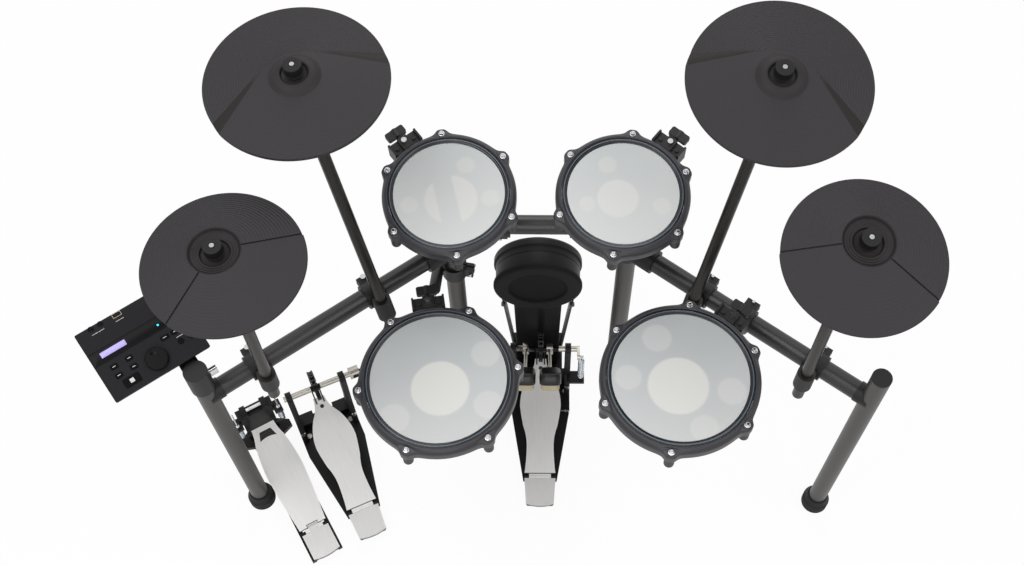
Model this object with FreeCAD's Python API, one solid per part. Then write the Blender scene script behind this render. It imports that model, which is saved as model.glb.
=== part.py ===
import FreeCAD, Part
import math
import os

# Electronic drum kit on a tube stand, in millimetres, +Z up, floor at z = 0.
# Seen from the player's stool, +X is to the right and +Y away from the player.
# The layout is set out from the plane of the front posts and centred at the end.

V = FreeCAD.Vector
UP = V(0, 0, 1)
X_WAY = V(1, 0, 0)

# Fits
SEAT_GAP = 0.15
RUNNING_GAP = 0.06
FREE_GAP = 0.3

# Stand tubes and posts
TUBE_RADIUS = 19.05
TUBE_WALL = 1.6
FRONT_POST_X = 622.0
INNER_POST_X = 176.0
INNER_POST_Y = 330.0
FRONT_POST_TOP = 666.0
INNER_POST_TOP = 690.0
SIDE_BAR_Z = 572.0
REAR_BAR_Z = 650.0
POST_CAP_THICKNESS = 3.0
POST_CAP_PLUG = 14.0

# Rubber feet
FOOT_RADIUS = 29.0
FOOT_HEIGHT = 46.0
FOOT_SOLE = 12.0
FOOT_RIB_DEPTH = 2.0
FOOT_RIB_PITCH = 9.0

# Cast joints
SADDLE_WALL = 2.0
SADDLE_LENGTH = 29.0
SADDLE_SOCKET = 20.5
TEE_WALL = 6.0
TEE_HEIGHT = 60.0
TEE_BRANCH = 66.0
TEE_SOCKET = 32.0
EAR_REACH = 15.0
EAR_THICKNESS = 18.0
EAR_SLIT = 3.0

# Bolts
BOLT_RADIUS = 3.0
BOLT_HEAD_RADIUS = 5.5
BOLT_HEAD_HEIGHT = 5.0

# Pipe clamps on the bars
CLAMP_WALL = 6.5
CLAMP_WIDTH = 40.0
CLAMP_BOSS_LENGTH = 46.0
CLAMP_WEB_HEIGHT = 30.0

# Cymbal arms and stems
ARM_RADIUS = 11.25
ARM_OFFSET = 39.0
ARM_TAIL = 66.0
STEM_RADIUS = 4.0
STEM_DROP = 52.0
STEM_NECK_RADIUS = 8.0
KNUCKLE_RADIUS = 14.0
KNUCKLE_WIDTH = 24.0
BALL_RADIUS = 14.0
HUB_TOP_RADIUS = 30.0
HUB_HOLE_EASE = 1.0
HUB_RADIUS = 20.5
HUB_FOOT = 7.0
CAP_RADIUS = 17.0
CAP_HEIGHT = 18.0
CAP_BEVEL = 1.5
CYMBAL_ROCK = 6.0
STEM_TIP = 0.5

# Crash cymbals
CRASH_RADIUS = 152.5
CRASH_EDGE = 4.0
CRASH_BOW = 13.0
CRASH_WALL = 5.0
BELL_RADIUS = 43.0
BELL_HEIGHT = 10.0
SECTOR_RISE = 3.0
SECTOR_ANGLE = 149.0
SKIRT_RADIUS = 54.0
BEVEL_WIDTH = 23.0

# Small cymbals with a stepped cup
SPLASH_RADIUS = 130.0
SPLASH_EDGE = 4.0
SPLASH_BOW = 7.0
SPLASH_WALL = 4.5
CUP_RADIUS = 42.5
CUP_STEP = 1.8
CUP_STEP_WIDTH = 7.3
HUB_SHIFT = 24.0
SLIT_WIDTH = 1.8
SLIT_DEPTH = 1.5
SLIT_SECTOR = 130.0

# Cymbal places: rim centre x, y, z, tilt towards the player, heading of the front sector
LEFT_CRASH = (-399.0, 318.0, 1114.0, 1.0, -62.0)
RIGHT_CRASH = (387.0, 312.0, 1129.0, 7.5, -115.5)
HIHAT_CYMBAL = (-494.0, 12.0, 1050.0, 0.0, -50.0)
RIGHT_CYMBAL = (501.0, 16.0, 1077.0, 9.5, -108.0)

# Pads
LARGE_HEAD_RADIUS = 125.0
SMALL_HEAD_RADIUS = 103.5
HEAD_THICKNESS = 1.0
HEAD_LAP = 5.5
HOOP_RIM = 21.0
HOOP_WALL = 4.0
HOOP_TOP = 4.5
HOOP_ROUND = 1.5
HOOP_LIP = 3.0
HOOP_CROWN = 9.0
HOOP_EASE = 1.0
HOOP_SKIRT = 24.0
SHELL_WALL = 4.0
SHELL_DEPTH = 52.0
SHELL_FLOOR = 4.0
SENSOR_SHARE_LARGE = 57.0
SENSOR_SHARE_SMALL = 46.0
SENSOR_PLATE = 4.0
SENSOR_STEM = 12.0
SENSOR_DROP = 5.0
LUG_RADIUS = 9.5
LUG_GAP = 2.0
LUG_WEB = 14.0
EAR_RADIUS = 10.5
EAR_ROOT = 46.0
KEY_ROD_RADIUS = 2.6
KEY_HEAD_RADIUS = 3.8
KEY_HEAD_HEIGHT = 5.5
KEY_FLANGE_RADIUS = 6.0
KEY_FLANGE = 2.0
LUG_COUNT = 6

# Pad brackets and rods
PAD_ROD_RADIUS = 5.25
BRACKET_GAP = 2.0
ROD_STANDOFF = 18.0
BRACKET_WIDTH = 20.0
BRACKET_SPAN = 62.0
BRACKET_CHEEK = 4.0
BRACKET_TAIL = 10.0
BRACKET_TOP = 8.0
BRACKET_ARM_TOP = 14.0
BRACKET_SCREW_X = 19.0
BRACKET_SCREW_RADIUS = 4.0
BRACKET_SCREW_HEIGHT = 2.5
WING_SHANK_RADIUS = 4.0
WING_REACH = 12.0
WING_HUB_RADIUS = 7.0
WING_HUB_LENGTH = 18.0
WING_SPAN = 40.0
WING_THICKNESS = 9.0
WING_CORNER = 4.0
ROD_TIP = 5.0
ROD_BEND = 26.0
ROD_OVERRUN = 30.0
TOM_CLAMP_X = 78.0
ROD_ABOVE_BAR = 32.0
SNARE_CLAMP_Z = 480.0
SNARE_BEND_Z = 598.0
SNARE_BOSS_BACK = 110.0
SNARE_ROD_OFFSET = 33.0
FLOOR_ROD_END = 500.0

# Pad places: head centre x, y, z, tilt towards the player, headings of the first lug and of the bracket
LEFT_TOM = (-168.0, 307.0, 797.0, 7.4, 38.2, 128.2)
RIGHT_TOM = (152.0, 304.0, 806.0, 6.5, 20.8, 50.8)
SNARE = (-183.0, -5.0, 662.0, 1.5, 9.4, 99.4)
FLOOR_TOM = (254.0, -10.0, 688.0, 1.0, 21.0, 51.0)

# Kick pad
KICK_X = -4.0
KICK_FACE_FROM_AXLE = 42.0
KICK_Z = 400.0
KICK_RADIUS = 94.0
KICK_WAIST_RADIUS = 89.0
KICK_SEAT_STEP = 6.0
KICK_BEVEL = 4.0
KICK_LENGTH = 76.0
KICK_RING_DEPTH = 12.0
KICK_RIM_DEPTH = 22.0
KICK_RECESS_RADIUS = 63.0
KICK_RECESS = 6.0
KICK_PAD_THICKNESS = 10.0
TOWER_TOP_WIDTH = 108.0
TOWER_FOOT_WIDTH = 90.0
TOWER_DEPTH = 60.0
TOWER_WALL = 4.0
KICK_PLATE_WIDTH = 116.0
KICK_PLATE_GAP = 1.0
KICK_PLATE_BACK = 96.0
KICK_PLATE_THICKNESS = 5.0
BRACE_WIDTH = 26.0
BRACE_THICKNESS = 4.0
BRACE_TOP_X = 79.0
BRACE_TOP_Z = 322.0
BRACE_FOOT_X = 50.0
KNOB_RADIUS = 5.0
KNOB_LENGTH = 8.0

# Pedals, each in a frame with the heel at its origin and +Y towards the axle: heel x, y and turn
MAIN_PEDAL = (3.0, -21.0, 0.0)
SLAVE_PEDAL = (-364.0, -91.0, 24.8)
HIHAT_PEDAL = (-462.0, -136.0, 30.3)
BASE_THICKNESS = 6.0
BASE_HEEL_WIDTH = 76.0
BASE_HEEL_INSET = 3.0
BASE_TOE_WIDTH = 136.0
BASE_TAPER_LENGTH = 98.0
TOE_BLOCK_INSIDE = 24.0
TOE_BLOCK_DEPTH = 30.0
TOE_BLOCK_HEIGHT = 26.0
BASE_LENGTH = 336.0
JAW_WIDTH = 44.0
JAW_REACH = 15.0
JAW_HEIGHT = 9.0
HEEL_REAR_WIDTH = 62.0
HEEL_PLATE_LENGTH = 60.0
HEEL_PLATE_THICKNESS = 8.0
HEEL_PLATE_Z = 14.0
HEEL_BULGE = 5.0
HINGE_Y = 68.0
HINGE_Z = 20.0
HINGE_RADIUS = 4.0
HINGE_PIN_RADIUS = 2.0
HINGE_BLOCK = 10.0
BOARD_THICKNESS = 6.0
BOARD_START = 7.0
BOARD_TIP_BACK = 17.0
BOARD_REST = 19.5
BOARD_HEEL_WIDTH = 70.0
BOARD_WAIST_WIDTH = 61.0
BOARD_WAIST_AT = 68.0
BOARD_WIDEST = 93.0
BOARD_WIDEST_FROM_TIP = 108.0
BOARD_NECK_WIDTH = 56.0
BOARD_NECK_FROM_TIP = 42.0
BOARD_TIP_WIDTH = 26.0
BOARD_HOLE_RADIUS = 4.5
BOARD_HOLE_FROM_TIP = 22.0
BOARD_HOLE_DEPTH = 4.0
AXLE_FROM_TOE = 34.0
AXLE_Z = 200.0
AXLE_RADIUS = 6.5
TOWER_X = 61.0
TOWER_THICKNESS = 13.0
TOWER_ROUND = 13.0
TOWER_FOOT_LENGTH = 62.0
CAM_RADIUS = 30.0
CAM_WIDTH = 9.0
CAM_HOLE_ANGLES = (130, 195, 260)
CHAIN_START = 105.0
CHAIN_LINKS = 15
CHAIN_HALF_HEIGHT = 4.0
CHAIN_PLATE = 1.6
CHAIN_ROLLER_RADIUS = 2.6
CHAIN_INNER = 3.2
CHAIN_SEAT = 0.6
YOKE_CHEEK = 3.0
YOKE_ROOT = 14.0
YOKE_ROUND = 5.0
YOKE_PIN_RADIUS = 2.0
SPIGOT_RADIUS = 3.5
SPIGOT_LENGTH = 8.0
AXLE_SPLIT_X = -12.0
BEATER_LENGTH = 200.0
BEATER_LEAN = 46.0
BEATER_ROD_RADIUS = 3.5
BEATER_HUB_RADIUS = 13.0
BEATER_HUB_WIDTH = 14.0
BEATER_WIDTH = 45.0
BEATER_HEIGHT = 48.0
BEATER_CORNER = 13.0
BEATER_BLOCK = 26.0
BEATER_FELT = 14.0
BEATER_FELT_INSET = 3.0
RIGHT_BEATER_X = 20.0
LEFT_BEATER_X = -33.0
SPRING_X = 84.0
SPRING_ARM = 20.0
SPRING_ARM_ANGLE = 175.0
SPRING_ARM_THICKNESS = 6.0
SPRING_ARM_ROUND = 7.0
SPRING_PIN_RADIUS = 3.0
SPRING_PIN_LENGTH = 8.0
SPRING_FOOT_Z = 84.0
SPRING_SHELF = 8.0
SPRING_SHELF_WIDTH = 18.0
SPRING_COILS = 15
SPRING_RADIUS = 6.0
SPRING_WIRE_RADIUS = 1.2
SPRING_PITCH = 5.4
SPRING_LEAD = 7.0
JOINT_BALL_RADIUS = 9.0
JOINT_FORK_RADIUS = 13.5
JOINT_FORK_ROOT = 15.0
JOINT_FORK_TIP = 7.0
JOINT_FORK_SLOT = 16.0
MAIN_JOINT_X = -105.0
SLAVE_JOINT_X = 94.0
SHAFT_RADIUS = 5.0
SHAFT_SLEEVE_RADIUS = 8.0
SHAFT_SLEEVE_SHARE = 0.5
STUB_LENGTH = 12.0
WING_BOLT_X = 58.0
WING_BOLT_FROM_TOE = 106.0
WING_BOLT_HEIGHT = 14.0
WING_BOLT_SPAN = 20.0

# Hi-hat pedal
RAIL_X = 31.0
RAIL_WIDTH = 10.0
RAIL_HEIGHT = 12.0
RAIL_PAST_BLOCK = 2.0
HIHAT_HEEL_WIDTH = 62.0
HIHAT_BOARD_LENGTH = 258.0
HIHAT_BOARD_REST = 17.0
HIHAT_BOARD_WIDEST = 84.0
HIHAT_BOARD_WIDEST_AT = 140.0
HIHAT_BOARD_BOW_AT = 184.0
HIHAT_BOARD_SHOULDER = 36.0
HIHAT_BOARD_BOW = 2.5
HIHAT_SHOULDER_WIDTH = 68.0
HIHAT_TIP_BOW = 2.0
HIHAT_BOARD_TIP_WIDTH = 54.0
HIHAT_NOTCH_WIDTH = 24.0
HIHAT_NOTCH_DEPTH = 12.0
HIHAT_WINDOW_LENGTH = 20.0
HIHAT_WINDOW_WIDTH = 40.0
HIHAT_WINDOW_DEPTH = 4.0
HIHAT_WINDOW_FROM_TIP = 12.0
HIHAT_RIBS = 3
HIHAT_TOE_GAP = 19.3
HIHAT_BLOCK_DEPTH = 26.0
HIHAT_BLOCK_WIDTH = 84.0
HIHAT_BEAM_DROP = 16.0
HIHAT_BEAM_HEIGHT = 28.0
HIHAT_WALL = 8.0
HIHAT_FOOT_REACH = 62.0
HIHAT_FOOT_LENGTH = 48.0
HIHAT_LUG_X = 24.0
HIHAT_LUG_WIDTH = 13.0
HIHAT_LUG_RISE = 20.0
HIHAT_ROD_RADIUS = 4.0
HIHAT_SPRING_X = 49.0
HIHAT_SPRING_RISE = 54.0
HIHAT_EAR_THICKNESS = 8.0
HIHAT_TAIL_RISE = 76.0
HIHAT_TAIL_RADIUS = 1.6
HIHAT_NUT_RADIUS = 4.0
HIHAT_CROSS_DROP = 35.0
HIHAT_CROSS_RADIUS = 3.0
HIHAT_CHEEK_X = 20.0
HIHAT_CHEEK_LENGTH = 24.0
HIHAT_CHEEK_ROUND = 5.0
HIHAT_SPRING_COILS = 5

# Sound module
MODULE_PLACE = (-712.2, 41.1)
MODULE_RISE = 49.0
MODULE_YAW = 36.46
MODULE_TILT = 20.8
MODULE_WIDTH = 190.0
MODULE_DEPTH = 142.0
MODULE_HEIGHT = 40.0
MODULE_PANEL = 9.0
MODULE_CORNER = 3.0
MODULE_DRAFT = 5.0
BEVEL_V = 57.0
BEVEL_DROP = 5.0
JACK_RADIUS = 4.0
JACK_DEPTH = 3.0
JACKS_U = (-64.6, -46.2)
JACK_V = 66.0
SOCKET_U = -13.4
SOCKET_WIDTH = 15.0
SOCKET_DEPTH = 7.0
DIAL_PLACE = (4.0, -41.0)
DIAL_RADIUS = 21.0
DIAL_HEIGHT = 9.0
DIAL_BEVEL = 2.0
DIAL_STEM_RADIUS = 4.0
DIAL_STEM_LENGTH = 5.0
DIMPLE_RADIUS = 14.0
DIMPLE_DEPTH = 1.5
DIMPLE_OFFSET = 12.0
BUTTON_HEIGHT = 3.2
BUTTON_TRAVEL = 1.2
BUTTON_WELL = 3.0
BUTTON_CORNER = 2.0
SMALL_BUTTON = (13.0, 9.0)
LARGE_BUTTON = (31.0, 17.0)
FLAT_BUTTON = (16.0, 8.0)
ROUND_BUTTON_RADIUS = 5.5
SMALL_BUTTON_PLACES = ((-65.0, -13.6), (-35.5, -13.6), (-65.5, -31.4), (-36.0, -31.4))
LARGE_BUTTON_PLACE = (-51.0, -51.0)
FLAT_BUTTON_PLACES = ((35.7, -14.6), (56.7, -14.6))
ROUND_BUTTON_PLACES = ((56.3, -35.2), (77.4, -35.2))
MODULE_COLLAR_WALL = 3.2
MODULE_COLLAR_HEIGHT = 66.0
MODULE_COLLAR_RISE = 10.0
MODULE_PLATE = 4.0
MODULE_PLATE_SIDE = 84.0
MODULE_PLATE_U = 48.0
MODULE_NECK_WIDTH = 34.0
MODULE_NECK_DROP = 14.0
MODULE_NECK_HEIGHT = 34.0
MODULE_NECK_REACH = 46.0


def unit(vector):
    """Copy of a vector with length one."""
    copy = V(vector)
    copy.normalize()
    return copy


def cyl(radius, start, axis, length):
    """Round bar from a start point along an axis."""
    return Part.makeCylinder(radius, length, start, axis)


def local_frame(origin, yaw=0.0, tilt=0.0):
    """Placement turned by yaw about Z, then tipped about its own x axis so that its rear edge rises."""
    turn = FreeCAD.Rotation(UP, yaw)
    tip = FreeCAD.Rotation(V(1, 0, 0), tilt)
    return FreeCAD.Placement(V(*origin), turn.multiply(tip))


def frame_on(origin, x_axis, z_axis):
    """Placement at a point with its x axis nearest to one direction and its z axis along another."""
    return FreeCAD.Placement(origin, FreeCAD.Rotation(x_axis, z_axis.cross(x_axis), z_axis, "ZXY"))


def placed(shape, frame):
    """Copy of a shape carried from local coordinates into a frame."""
    copy = shape.copy()
    copy.Placement = frame.multiply(copy.Placement)
    return copy


def turned(shape, angle):
    """Copy of a local shape turned about its z axis."""
    return placed(shape, FreeCAD.Placement(V(0, 0, 0), FreeCAD.Rotation(UP, angle)))


def closed_wire(items, to_space):
    """Closed outline through points; a pair of points is an arc by way of the first to the second."""
    start = to_space(*items[0])
    here = start
    edges = []
    for item in items[1:]:
        if isinstance(item[0], tuple):
            end = to_space(*item[1])
            edges.append(Part.Arc(here, to_space(*item[0]), end).toShape())
        else:
            end = to_space(*item)
            edges.append(Part.LineSegment(here, end).toShape())
        here = end
    if (here - start).Length > 1e-6:
        edges.append(Part.LineSegment(here, start).toShape())
    return Part.Wire(edges)


def lathe(items, angle=360.0):
    """Solid of revolution about z from an outline of (radius, height) points."""
    face = Part.Face(closed_wire(items, lambda r, z: V(r, 0, z)))
    return face.revolve(V(0, 0, 0), UP, angle)


def plate(items, bottom, thickness):
    """Flat plate with an outline in the local xy plane."""
    face = Part.Face(closed_wire(items, lambda x, y: V(x, y, bottom)))
    return face.extrude(V(0, 0, thickness))


def side_plate(items, left, thickness):
    """Upright plate with an outline in the local yz plane, extruded along x."""
    face = Part.Face(closed_wire(items, lambda y, z: V(left, y, z)))
    return face.extrude(V(thickness, 0, 0))


def block(size, centre):
    """Box of a size about a centre."""
    return Part.makeBox(*size, V(centre[0] - size[0] / 2, centre[1] - size[1] / 2, centre[2] - size[2] / 2))


def round_block(width, height, corner, bottom, thickness):
    """Plate with a rounded rectangular outline about the local origin."""
    w, h = width / 2, height / 2
    k = corner * (1 - math.sqrt(0.5))
    return plate([(w, corner - h), (w, h - corner), ((w - k, h - k), (w - corner, h)), (corner - w, h),
                  ((k - w, h - k), (-w, h - corner)), (-w, corner - h), ((k - w, k - h), (corner - w, -h)),
                  (w - corner, -h), ((w - k, k - h), (w, corner - h))], bottom, thickness)


def fused(shapes):
    """One solid from shapes that overlap, with seams between flush faces removed."""
    return shapes[0].multiFuse(shapes[1:]).removeSplitter()


def bolt(seat, direction, shank):
    """Cap screw whose head stands on a seat and whose shank runs back along the direction."""
    head = cyl(BOLT_HEAD_RADIUS, seat, direction, BOLT_HEAD_HEIGHT)
    return fused([head, cyl(BOLT_RADIUS, seat - direction * shank, direction, shank)])


def biarc(start, start_way, end, end_way):
    """Two arcs that leave one point and reach another with given unit directions."""
    gap = end - start
    both = start_way + end_way
    part = 2 * (1 - start_way.dot(end_way))
    across = gap.dot(both)
    reach = (math.sqrt(across * across + part * gap.dot(gap)) - across) / part
    middle = (start + end + (start_way - end_way) * reach) * 0.5
    edges = []
    for a, way, b in ((start, start_way, middle), (middle, unit(middle - start - start_way * reach), end)):
        chord = b - a
        along = unit(chord)
        aside = way - along * way.dot(along)
        half_turn = math.atan2(aside.Length, way.dot(along))
        crown = a + chord * 0.5 + unit(aside) * (chord.Length / 2 * math.tan(half_turn / 2))
        edges.append(Part.Arc(a, crown, b).toShape())
    return edges


def coil_spring(top, foot, coils, name):
    """Tension spring of round wire between two points: leads on its axis and a helix of half-turn biarcs."""
    axis = unit(foot - top)
    side = unit(axis.cross(V(1, 0, 0)))
    other = axis.cross(side)
    rise = SPRING_PITCH / (2 * math.pi)
    slope = math.hypot(SPRING_RADIUS, rise)
    first_turn = ((foot - top).Length - SPRING_PITCH * coils) / 2

    def point(turn):
        around = side * math.cos(turn) + other * math.sin(turn)
        return top + axis * (first_turn + rise * turn) + around * SPRING_RADIUS

    def heading(turn):
        around = other * math.cos(turn) - side * math.sin(turn)
        return (around * SPRING_RADIUS + axis * rise) * (1 / slope)

    halves = [math.pi * i for i in range(2 * coils + 1)]
    last = halves[-1]
    lead_in = top + axis * (first_turn - SPRING_LEAD)
    lead_out = foot - axis * (first_turn - SPRING_LEAD)
    edges = [Part.LineSegment(top, lead_in).toShape()]
    edges += biarc(lead_in, axis, point(0), heading(0))
    for a, b in zip(halves, halves[1:]):
        edges += biarc(point(a), heading(a), point(b), heading(b))
    edges += biarc(point(last), heading(last), lead_out, axis)
    edges.append(Part.LineSegment(lead_out, foot).toShape())
    ring = Part.Wire(Part.makeCircle(SPRING_WIRE_RADIUS, top, axis))
    spring = Part.Wire(edges).makePipeShell([ring], True, False)
    samples = [point(2 * math.pi * i / 24) for i in range(24 * coils + 1)]
    nearest = min((a - b).Length for i, a in enumerate(samples) for b in samples[i + 18:])
    print(name, "least gap between turns %.2f mm" % (nearest - 2 * SPRING_WIRE_RADIUS))
    return spring


def pipe_clamp(bar_point, bar_axis, bar_radius, rod_point, rod_axis, rod_radius, back=CLAMP_BOSS_LENGTH / 2):
    """Split clamp: a collar on a tube, a boss round a rod, a web between them and an ear with its bolt.

    The boss reaches back along the rod by a length of its own."""
    reach = rod_point - bar_point
    outward = unit(reach)
    frame = frame_on(bar_point, outward, unit(outward.cross(bar_axis)))
    collar = cyl(bar_radius + CLAMP_WALL, bar_point - bar_axis * (CLAMP_WIDTH / 2), bar_axis, CLAMP_WIDTH)
    boss = cyl(rod_radius + CLAMP_WALL, rod_point - rod_axis * back, rod_axis, back + CLAMP_BOSS_LENGTH / 2)
    web = block((reach.Length, CLAMP_BOSS_LENGTH * 0.6, CLAMP_WEB_HEIGHT), (reach.Length / 2, 0, 0))
    ear_middle = bar_radius + CLAMP_WALL + EAR_REACH / 2
    ear = block((EAR_REACH + CLAMP_WALL, CLAMP_WIDTH * 0.7, EAR_THICKNESS),
                (-ear_middle + CLAMP_WALL / 2, 0, 0))
    body = fused([collar, boss, placed(web, frame), placed(ear, frame)])
    slit = block((EAR_REACH + 3 * CLAMP_WALL, CLAMP_WIDTH * 2, EAR_SLIT), (-ear_middle, 0, 0))
    seat = frame.multVec(V(-ear_middle - CLAMP_WALL / 2, 0, EAR_THICKNESS / 2))
    thick = frame.Rotation.multVec(UP)
    far = max(CLAMP_BOSS_LENGTH, CLAMP_WIDTH, back) * 2
    cutters = [
        cyl(bar_radius + SEAT_GAP, bar_point - bar_axis * far, bar_axis, 2 * far),
        cyl(rod_radius + SEAT_GAP, rod_point - rod_axis * far, rod_axis, 2 * far),
        placed(slit, frame),
        cyl(BOLT_RADIUS + SEAT_GAP, seat - thick * 2 * EAR_THICKNESS, thick, 3 * EAR_THICKNESS),
    ]
    return body.cut(cutters), bolt(seat, thick, EAR_THICKNESS + BOLT_HEAD_HEIGHT)


def tee_joint(post_point, branch_way):
    """Cast tee: collar on an upright post with a socket branch for a bar and a bolted ear behind."""
    collar_radius = TUBE_RADIUS + TEE_WALL
    collar = cyl(collar_radius, post_point - UP * (TEE_HEIGHT / 2), UP, TEE_HEIGHT)
    branch = cyl(collar_radius, post_point, branch_way, TEE_BRANCH)
    frame = frame_on(post_point, branch_way, UP)
    ear_middle = collar_radius + EAR_REACH / 2
    ear = block((EAR_REACH + TEE_WALL, EAR_THICKNESS, TEE_HEIGHT * 0.7), (-ear_middle + TEE_WALL / 2, 0, 0))
    slit = block((EAR_REACH + 3 * TEE_WALL, EAR_SLIT, TEE_HEIGHT * 2), (-ear_middle, 0, 0))
    across = frame.Rotation.multVec(V(0, 1, 0))
    seats = [frame.multVec(V(-ear_middle - TEE_WALL / 2, EAR_THICKNESS / 2, z)) for z in
             (-TEE_HEIGHT / 5, TEE_HEIGHT / 5)]
    cutters = [
        cyl(TUBE_RADIUS + SEAT_GAP, post_point - UP * TEE_HEIGHT, UP, 2 * TEE_HEIGHT),
        cyl(TUBE_RADIUS + SEAT_GAP, post_point + branch_way * TEE_SOCKET, branch_way, TEE_BRANCH),
        placed(slit, frame),
    ]
    cutters += [cyl(BOLT_RADIUS + SEAT_GAP, s - across * 2 * EAR_THICKNESS, across, 3 * EAR_THICKNESS)
                for s in seats]
    body = fused([collar, branch, placed(ear, frame)]).cut(cutters)
    return body, [bolt(s, across, EAR_THICKNESS + BOLT_HEAD_HEIGHT) for s in seats]


nodes = {}


def add(node, shapes):
    """Put solids into a named node."""
    nodes.setdefault(node, []).extend(shapes if isinstance(shapes, list) else [shapes])


# Stand: hollow posts in ribbed rubber feet with plugged tops, bars between them in cast joints.
front_posts = {side: V(side * FRONT_POST_X, 0, 0) for side in (-1, 1)}
inner_posts = {side: V(side * INNER_POST_X, INNER_POST_Y, 0) for side in (-1, 1)}
bar_ways = {side: unit(inner_posts[side] - front_posts[side]) for side in (-1, 1)}
bar_lines = {side: front_posts[side] + UP * SIDE_BAR_Z for side in (-1, 1)}
player_ways = {side: V(-side * bar_ways[side].y, side * bar_ways[side].x, 0) for side in (-1, 1)}
bore_radius = TUBE_RADIUS - TUBE_WALL


def hollow_tube(start, axis, length):
    """Stand tube with its bore right through."""
    return cyl(TUBE_RADIUS, start, axis, length).cut(cyl(bore_radius, start - axis, axis, length + 2))


def rubber_foot():
    """Foot with a socket for the post and ribs round its wall."""
    items = [(0, 0), (FOOT_RADIUS - FOOT_RIB_DEPTH, 0)]
    for i in range(3):
        low = FOOT_RIB_PITCH * i + FOOT_RIB_DEPTH
        items += [(FOOT_RADIUS, low), (FOOT_RADIUS, low + FOOT_RIB_PITCH / 2)]
        items += [(FOOT_RADIUS - FOOT_RIB_DEPTH, low + FOOT_RIB_PITCH / 2 + FOOT_RIB_DEPTH)]
    items += [(TUBE_RADIUS + TEE_WALL / 2, FOOT_HEIGHT), (TUBE_RADIUS + SEAT_GAP, FOOT_HEIGHT)]
    items += [(TUBE_RADIUS + SEAT_GAP, FOOT_SOLE), (0, FOOT_SOLE)]
    return lathe(items)


def post_cap():
    """Flat cap with a plug that goes into the tube."""
    plug = bore_radius - SEAT_GAP
    return lathe([(0, -POST_CAP_PLUG), (plug, -POST_CAP_PLUG), (plug, 0), (TUBE_RADIUS, 0),
                  (TUBE_RADIUS, POST_CAP_THICKNESS), (0, POST_CAP_THICKNESS)])


for side in (-1, 1):
    for foot_place, top in ((front_posts[side], FRONT_POST_TOP), (inner_posts[side], INNER_POST_TOP)):
        seat = top - POST_CAP_THICKNESS
        add("posts", hollow_tube(foot_place + UP * FOOT_SOLE, UP, seat - FOOT_SOLE))
        add("rubber_feet_and_caps", placed(rubber_foot(), local_frame(foot_place)))
        add("rubber_feet_and_caps", placed(post_cap(), local_frame(foot_place + UP * seat)))
    way = bar_ways[side]
    bar_end = inner_posts[side] + UP * SIDE_BAR_Z
    bar_length = (bar_end - bar_lines[side]).Length - SADDLE_SOCKET - TEE_SOCKET
    add("stand_bars", hollow_tube(bar_lines[side] + way * SADDLE_SOCKET, way, bar_length))
    saddle = cyl(TUBE_RADIUS + SADDLE_WALL, bar_lines[side], way, SADDLE_LENGTH)
    post_room = cyl(TUBE_RADIUS + SEAT_GAP, bar_lines[side] - UP * SADDLE_LENGTH, UP, 2 * SADDLE_LENGTH)
    bar_room = cyl(TUBE_RADIUS + SEAT_GAP, bar_lines[side] + way * SADDLE_SOCKET, way, SADDLE_LENGTH)
    add("bar_joints", saddle.cut([post_room, bar_room]))
    for height, branch in ((SIDE_BAR_Z, way * -1), (REAR_BAR_Z, V(-side, 0, 0))):
        casting, screws = tee_joint(inner_posts[side] + UP * height, branch)
        add("bar_joints", casting)
        add("clamp_bolts", screws)
rear_start = inner_posts[-1] + UP * REAR_BAR_Z + V(TEE_SOCKET, 0, 0)
add("stand_bars", hollow_tube(rear_start, V(1, 0, 0), 2 * INNER_POST_X - 2 * TEE_SOCKET))


# Cymbals: moulded discs that rock on a ball seat under a screw cap, each on an arm clamped to a side bar.
hub_hole_radius = STEM_RADIUS + HUB_TOP_RADIUS * math.sin(math.radians(CYMBAL_ROCK)) + HUB_HOLE_EASE


def sphere_z(radius, away):
    """Height of a sphere's surface over its centre at a distance from its axis."""
    return math.sqrt(radius * radius - away * away)


def hub_items(pivot):
    """Underside of a cymbal hub: the socket over the ball seat, then its flat foot."""
    socket = BALL_RADIUS + FREE_GAP
    foot_edge = math.sqrt(socket * socket - HUB_FOOT * HUB_FOOT)
    half = (hub_hole_radius + foot_edge) / 2
    return [(hub_hole_radius, pivot + sphere_z(socket, hub_hole_radius)),
            ((half, pivot + sphere_z(socket, half)), (foot_edge, pivot + HUB_FOOT)),
            (HUB_RADIUS, pivot + HUB_FOOT)]


def hub_top(pivot):
    """Top of a cymbal hub: a spherical crown about the same pivot, closed down the stem hole."""
    half = (HUB_RADIUS + hub_hole_radius) / 2
    return [(HUB_RADIUS, pivot + sphere_z(HUB_TOP_RADIUS, HUB_RADIUS)),
            ((half, pivot + sphere_z(HUB_TOP_RADIUS, half)),
             (hub_hole_radius, pivot + sphere_z(HUB_TOP_RADIUS, hub_hole_radius)))]


CRASH_TOP = CRASH_EDGE / 2 + CRASH_BOW
CRASH_PIVOT = CRASH_TOP + BELL_HEIGHT - sphere_z(HUB_TOP_RADIUS, HUB_RADIUS)
SPLASH_TOP = SPLASH_EDGE / 2 + SPLASH_BOW
CUP_FLOOR = SPLASH_TOP - 3 * CUP_STEP
SPLASH_PIVOT = CUP_FLOOR - sphere_z(HUB_TOP_RADIUS, HUB_RADIUS)


def crash_height(radius):
    """Height of a crash cymbal's bow at a distance from its axis."""
    return CRASH_TOP - CRASH_BOW * (radius - BELL_RADIUS) / (CRASH_RADIUS - BELL_RADIUS)


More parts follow.
